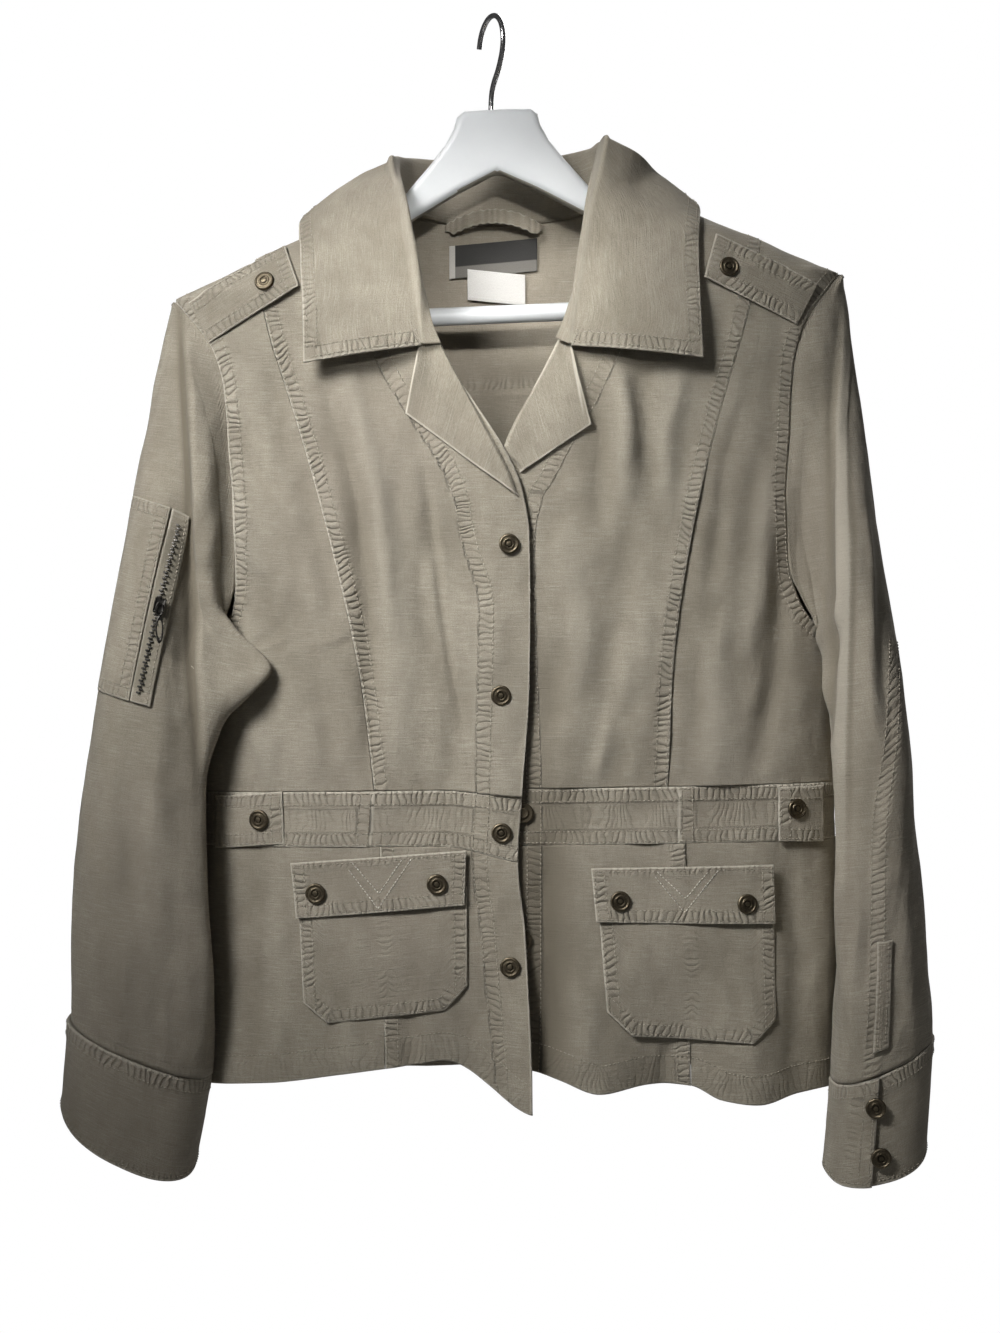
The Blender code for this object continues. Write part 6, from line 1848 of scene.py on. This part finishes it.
def drawNeck():
    look = neckPieces["loop"]
    u, v = np.meshgrid(np.linspace(-1, 1, 151), np.linspace(0, 1, 19))
    gather = 0.00045 * np.sin(38 * u + 2.4 * np.sin(7 * u)) * (0.3 + 0.7 * np.abs(2 * v - 1))
    bow = (1 - u ** 2)
    x = look["middle"] + look["halfWidth"] * u
    tall = look["tall"] * (0.45 + 0.55 * ramp(1.0, 0.8, np.abs(u)))
    z = look["low"] + look["rise"] * bow - tall * (1 - v) + 0.0004 * np.sin(40 * u)
    y = look["deep"] - look["bow"] * np.maximum(bow, 0) ** 0.7
    base = np.stack([x, y, z], -1)
    outer = base + np.stack([0 * gather, gather, 0 * gather], -1)
    normal = np.zeros(base.shape)
    normal[..., 1] = -1.0
    sewing = unsewn(u.shape)
    # the colour changes with the gathers' rise and fall, as painted highlight and painted shade; both folded
    # edges are paler
    sewing["pale"] = 0.3 * gather / 0.00045 + 0.5 * (np.abs(2 * v - 1) > 0.86)
    clothPiece("hanger_loop", base, outer, normal, 0.0013, sewing, khaki)
    for name in ("neck_label", "care_tag"):
        look = neckPieces[name]
        u, v = np.meshgrid(np.linspace(0, 1, 61), np.linspace(0, 1, 31))
        x = look["x"][0] + (look["x"][1] - look["x"][0]) * u
        z = look["z"][0] + (look["z"][1] - look["z"][0]) * v
        z = z + look["lean"] * (u - 0.5)
        w = around(x, z)
        inward = -bodyNormal(w, z, "B")
        base = bodyPoint(w, z, "B") + inward * (0.0016 + look["lift"] + look["thick"])
        curl = 0.0007 * np.sin(3.0 * u + 1.0) * (1 - v) + 0.0003 * ripple(u * 5, v * 3, 820 + len(name))
        outer = base + inward * np.maximum(curl, -0.0003)[..., None]
        uv = np.stack([x - look["x"][0] - look["tab"], v * (look["z"][1] - look["z"][0])], -1)
        made = gridMesh("cloth_" + name, outer, outer - inward * look["thick"], 3, False, uv, {})
        made.data.materials.append(labelLook[name])
        declareSheet(made, name, base)


drawNeck()
print("neck pieces sewn")

# Hanger: outline from the middle outwards, upper then lower edge, arms under the shoulders.
hanger = {
    "middle": 0.0045,
    "half": 0.0075,
    "top": ((0.0, -0.0655), (0.024, -0.066), (0.029, -0.07), (0.031, -0.078), (0.037, -0.089),
            (0.048, -0.103), (0.062, -0.119), (0.072, -0.131), (0.084, -0.1395)),
    "low": ((0.0, -0.1105), (0.028, -0.124), (0.062, -0.143), (0.12, -0.172), (0.172, -0.196)),
    "foot": ((0.183, -0.203), (0.186, -0.225), (0.205, -0.225), (0.212, -0.205)),
    "arm": (0.1, 0.12, 0.15, 0.18, 0.198, 0.208),
    "bar": (0.1812, -0.2118, 0.0065),
    "stem": ((0.0, -0.0652), (0.0, -0.056), (0.0045, -0.047), (0.0125, -0.04), (0.019, -0.03)),
    "wire": 0.0019,
    "hookInside": 0.0195,
    "hookTurn": math.radians(66.0),
}


def plasticFinish(name, colour, shade, rough):
    material, tree, shader = newMaterial(name, rough)
    where = addNode(tree, "ShaderNodeTexCoord").outputs["Object"]
    cloud = stretchedNoise(tree, where, (30.0, 30.0, 30.0), 3.0)
    grain = stretchedNoise(tree, where, (900.0, 900.0, 900.0), 2.0)
    tone = mixColour(tree, spanned(tree, cloud, 0.35, 0.7, 0.0, 0.35), colour, shade)
    tree.links.new(tone, shader.inputs["Base Color"])
    tree.links.new(spanned(tree, grain, 0.3, 0.7, rough - 0.06, rough + 0.08), shader.inputs["Roughness"])
    bumped(tree, shader, grain, 0.00008)
    return material


whitePlastic = plasticFinish("whiteSatin", (0.72, 0.745, 0.76, 1.0), (0.65, 0.675, 0.69, 1.0), 0.42)
# darker khaki grey for the downward faces of the hanger's middle: painted shade
undersideShade = plasticFinish("paintedUndersideShade", (0.34, 0.32, 0.27, 1.0), (0.26, 0.245, 0.21, 1.0), 0.55)


def drawHanger():
    def leaned(x, z):
        return (x + hanger["middle"], z + body["tilt"] * x)

    def armTop(x):
        off = x - 0.0118
        under = 0.0029 / math.cos(math.atan(body["shoulderSlope"]))
        return float(shoulderZ(off)) + body["tilt"] * off - under

    upper, lower = {}, {}
    for sign in (-1, 1):
        upper[sign] = [leaned(sign * x, z) for x, z in hanger["top"]]
        upper[sign] += [(sign * x, armTop(sign * x)) for x in hanger["arm"]]
        lower[sign] = [leaned(sign * x, z) for x, z in hanger["foot"][::-1] + hanger["low"][::-1]]
    outline = upper[1] + lower[1] + lower[-1][::-1][1:] + upper[-1][::-1][:-1]
    bpy.ops.mesh.primitive_circle_add(vertices=len(outline), radius=0.1, fill_type="NGON")
    piece = bpy.context.object
    piece.name = "hanger_shell"
    for vertex, (x, z) in zip(piece.data.vertices, outline):
        vertex.co = (x, -hanger["half"], z)
    bpy.ops.object.mode_set(mode="EDIT")
    bpy.ops.mesh.select_all(action="SELECT")
    bpy.ops.mesh.extrude_region_move(TRANSFORM_OT_translate={"value": (0, 2 * hanger["half"], 0)})
    bpy.ops.mesh.select_all(action="SELECT")
    bpy.ops.mesh.normals_make_consistent(inside=False)
    bpy.ops.object.mode_set(mode="OBJECT")
    softEdges(piece, 0.0052, 4, 50.0)
    piece.data.materials.append(whitePlastic)
    piece.data.materials.append(undersideShade)
    # downward faces of the middle take the darker grey: painted shade on the underside
    for face in piece.data.polygons:
        face.material_index = 1 if face.normal.z < -0.72 and abs(face.center.x) < 0.17 else 0
    finishRigid(piece, Matrix.Identity(4), "jacket", "hanger_body")
    half, z, radius = hanger["bar"]
    start, end = (Vector((leaned(x, z)[0], 0, leaned(x, z)[1])) for x in (-half, half))
    bpy.ops.mesh.primitive_cylinder_add(vertices=36, radius=radius, depth=(end - start).length)
    bar = bpy.context.object
    bar.name = "hanger_rod"
    softEdges(bar, 0.0012)
    bar.data.materials.append(whitePlastic)
    turn = (end - start).to_track_quat("Z", "Y").to_matrix().to_4x4()
    finishRigid(bar, Matrix.Translation((start + end) / 2) @ turn, "jacket", "hanger_bar")
    radius = hanger["hookInside"] + hanger["wire"]
    flat = [Vector((h, 0, z)) for h, z in hanger["stem"]]
    for turn in np.linspace(-10, 172, 16):
        across, up = (radius * way(math.radians(turn)) for way in (math.cos, math.sin))
        flat.append(Vector((across, 0, -hanger["hookInside"] + up)))
    bpy.ops.curve.primitive_nurbs_path_add()
    hook = bpy.context.object
    hook.name = "hanger_wire"
    line = hook.data.splines[0]
    line.points.add(len(flat) - len(line.points))
    for point, at in zip(line.points, flat):
        point.co = (at.x * math.cos(hanger["hookTurn"]), -at.x * math.sin(hanger["hookTurn"]), at.z, 1)
    line.use_endpoint_u = True
    line.order_u = 3
    line.resolution_u = 6
    hook.data.bevel_depth = hanger["wire"]
    hook.data.bevel_resolution = 6
    hook.data.use_fill_caps = True
    bpy.ops.object.select_all(action="DESELECT")
    hook.select_set(True)
    bpy.context.view_layer.objects.active = hook
    bpy.ops.object.convert(target="MESH")
    hook = bpy.context.object
    hook.data.materials.append(steel)
    finishRigid(hook, Matrix.Identity(4), "jacket", "hanger_hook")


drawHanger()
print("hanger built")

for group, rows in stitches.items():
    stitchPiece("stitches" + group, rows, paleThread if group == "Chevron" else khakiThread)
print("stitches laid:", {group: sum(len(row[0]) for row in rows) for group, rows in stitches.items()})

# Stage: pale floor, white surroundings, soft light from high on the image's left, and the photo's camera.
stage = {
    "floorZ": -1.12,
    "floorSize": 14.0,
    "eye": (0.0064, -1.61, -0.464),
    "filmHeight": 24.0,
    "reach": 1.55,
    "imageHeight": 1333 * 0.00069,
    "lights": (  # name, place, aim, size, watts, colour, spread
        ("key", (-0.68, -0.9, 0.36), (-0.045, -0.06, -0.36), 0.58, 1.54, (1.0, 0.988, 0.98), 36.0),
        ("neck", (0.03, -1.3, 0.1), (0.003, 0.04, -0.21), 0.1, 0.062, (1.0, 0.985, 0.96), 11.0),
        ("fill", (-1.5, -1.9, 0.4), (0.0, 0.0, -0.45), 1.6, 0.9, (1.0, 0.95, 0.85), 180.0),
        ("behind", (0.7, 1.5, 0.7), (0.0, 0.0, -0.45), 1.2, 16.0, (1.0, 0.99, 0.97), 180.0),
    ),
}


def setStage():
    bpy.ops.mesh.primitive_plane_add(size=stage["floorSize"], location=(0, 0, stage["floorZ"]))
    floor = bpy.context.object
    floor.name = "floor"
    bpy.ops.object.transform_apply(location=True, rotation=True, scale=True)
    material, tree, shader = newMaterial("paleFloor", 0.7)
    where = addNode(tree, "ShaderNodeTexCoord").outputs["Object"]
    grain = stretchedNoise(tree, where, (3.0, 3.0, 3.0), 2.0)
    tone = mixColour(tree, grain, (0.86, 0.86, 0.86, 1.0), (0.82, 0.82, 0.82, 1.0))
    tree.links.new(tone, shader.inputs["Base Color"])
    seen = addNode(tree, "ShaderNodeLightPath").outputs["Is Camera Ray"]
    shine = addNode(tree, "ShaderNodeEmission", {"Color": (1, 1, 1, 1), "Strength": 1.0})
    blend = addNode(tree, "ShaderNodeMixShader", {0: seen, 1: shader.outputs[0], 2: shine.outputs[0]})
    tree.links.new(blend.outputs[0], tree.nodes["Material Output"].inputs["Surface"])
    floor.data.materials.append(material)
    world = bpy.data.worlds.new("studio")
    bpy.context.scene.world = world
    world.use_nodes = True
    tree = world.node_tree
    seen = addNode(tree, "ShaderNodeLightPath").outputs["Is Camera Ray"]
    strength = spanned(tree, seen, 0.0, 1.0, 0.06, 1.0)
    shade = addNode(tree, "ShaderNodeBackground", {"Color": (1, 1, 1, 1), "Strength": strength})
    tree.links.new(shade.outputs[0], tree.nodes["World Output"].inputs["Surface"])
    for name, place, aim, size, watts, colour, spread in stage["lights"]:
        lamp = bpy.data.lights.new(name, "AREA")
        lamp.shape = "DISK"
        lamp.size = size
        lamp.energy = watts
        lamp.color = colour
        lamp.spread = math.radians(spread)
        holder = placed(name, lamp)
        holder.location = place
        holder.rotation_euler = (Vector(aim) - Vector(place)).to_track_quat("-Z", "Y").to_euler()
    view = bpy.data.cameras.new("photoCamera")
    view.sensor_fit = "VERTICAL"
    view.sensor_height = stage["filmHeight"]
    view.lens = stage["filmHeight"] * stage["reach"] / stage["imageHeight"]
    holder = placed("photoCamera", view)
    holder.location = stage["eye"]
    holder.rotation_euler = (math.pi / 2, 0, 0)
    bpy.context.scene.camera = holder
    bpy.context.scene.view_settings.view_transform = "Standard"


setStage()
print("stage set")

counts = {}
for piece in bpy.context.scene.objects:
    if piece.type == "MESH" and piece.name not in nodes:
        counts[piece.name] = sum(len(face.vertices) - 2 for face in piece.data.polygons)
print("triangles:", sum(counts.values()), "most in one piece:", max(counts.values()))
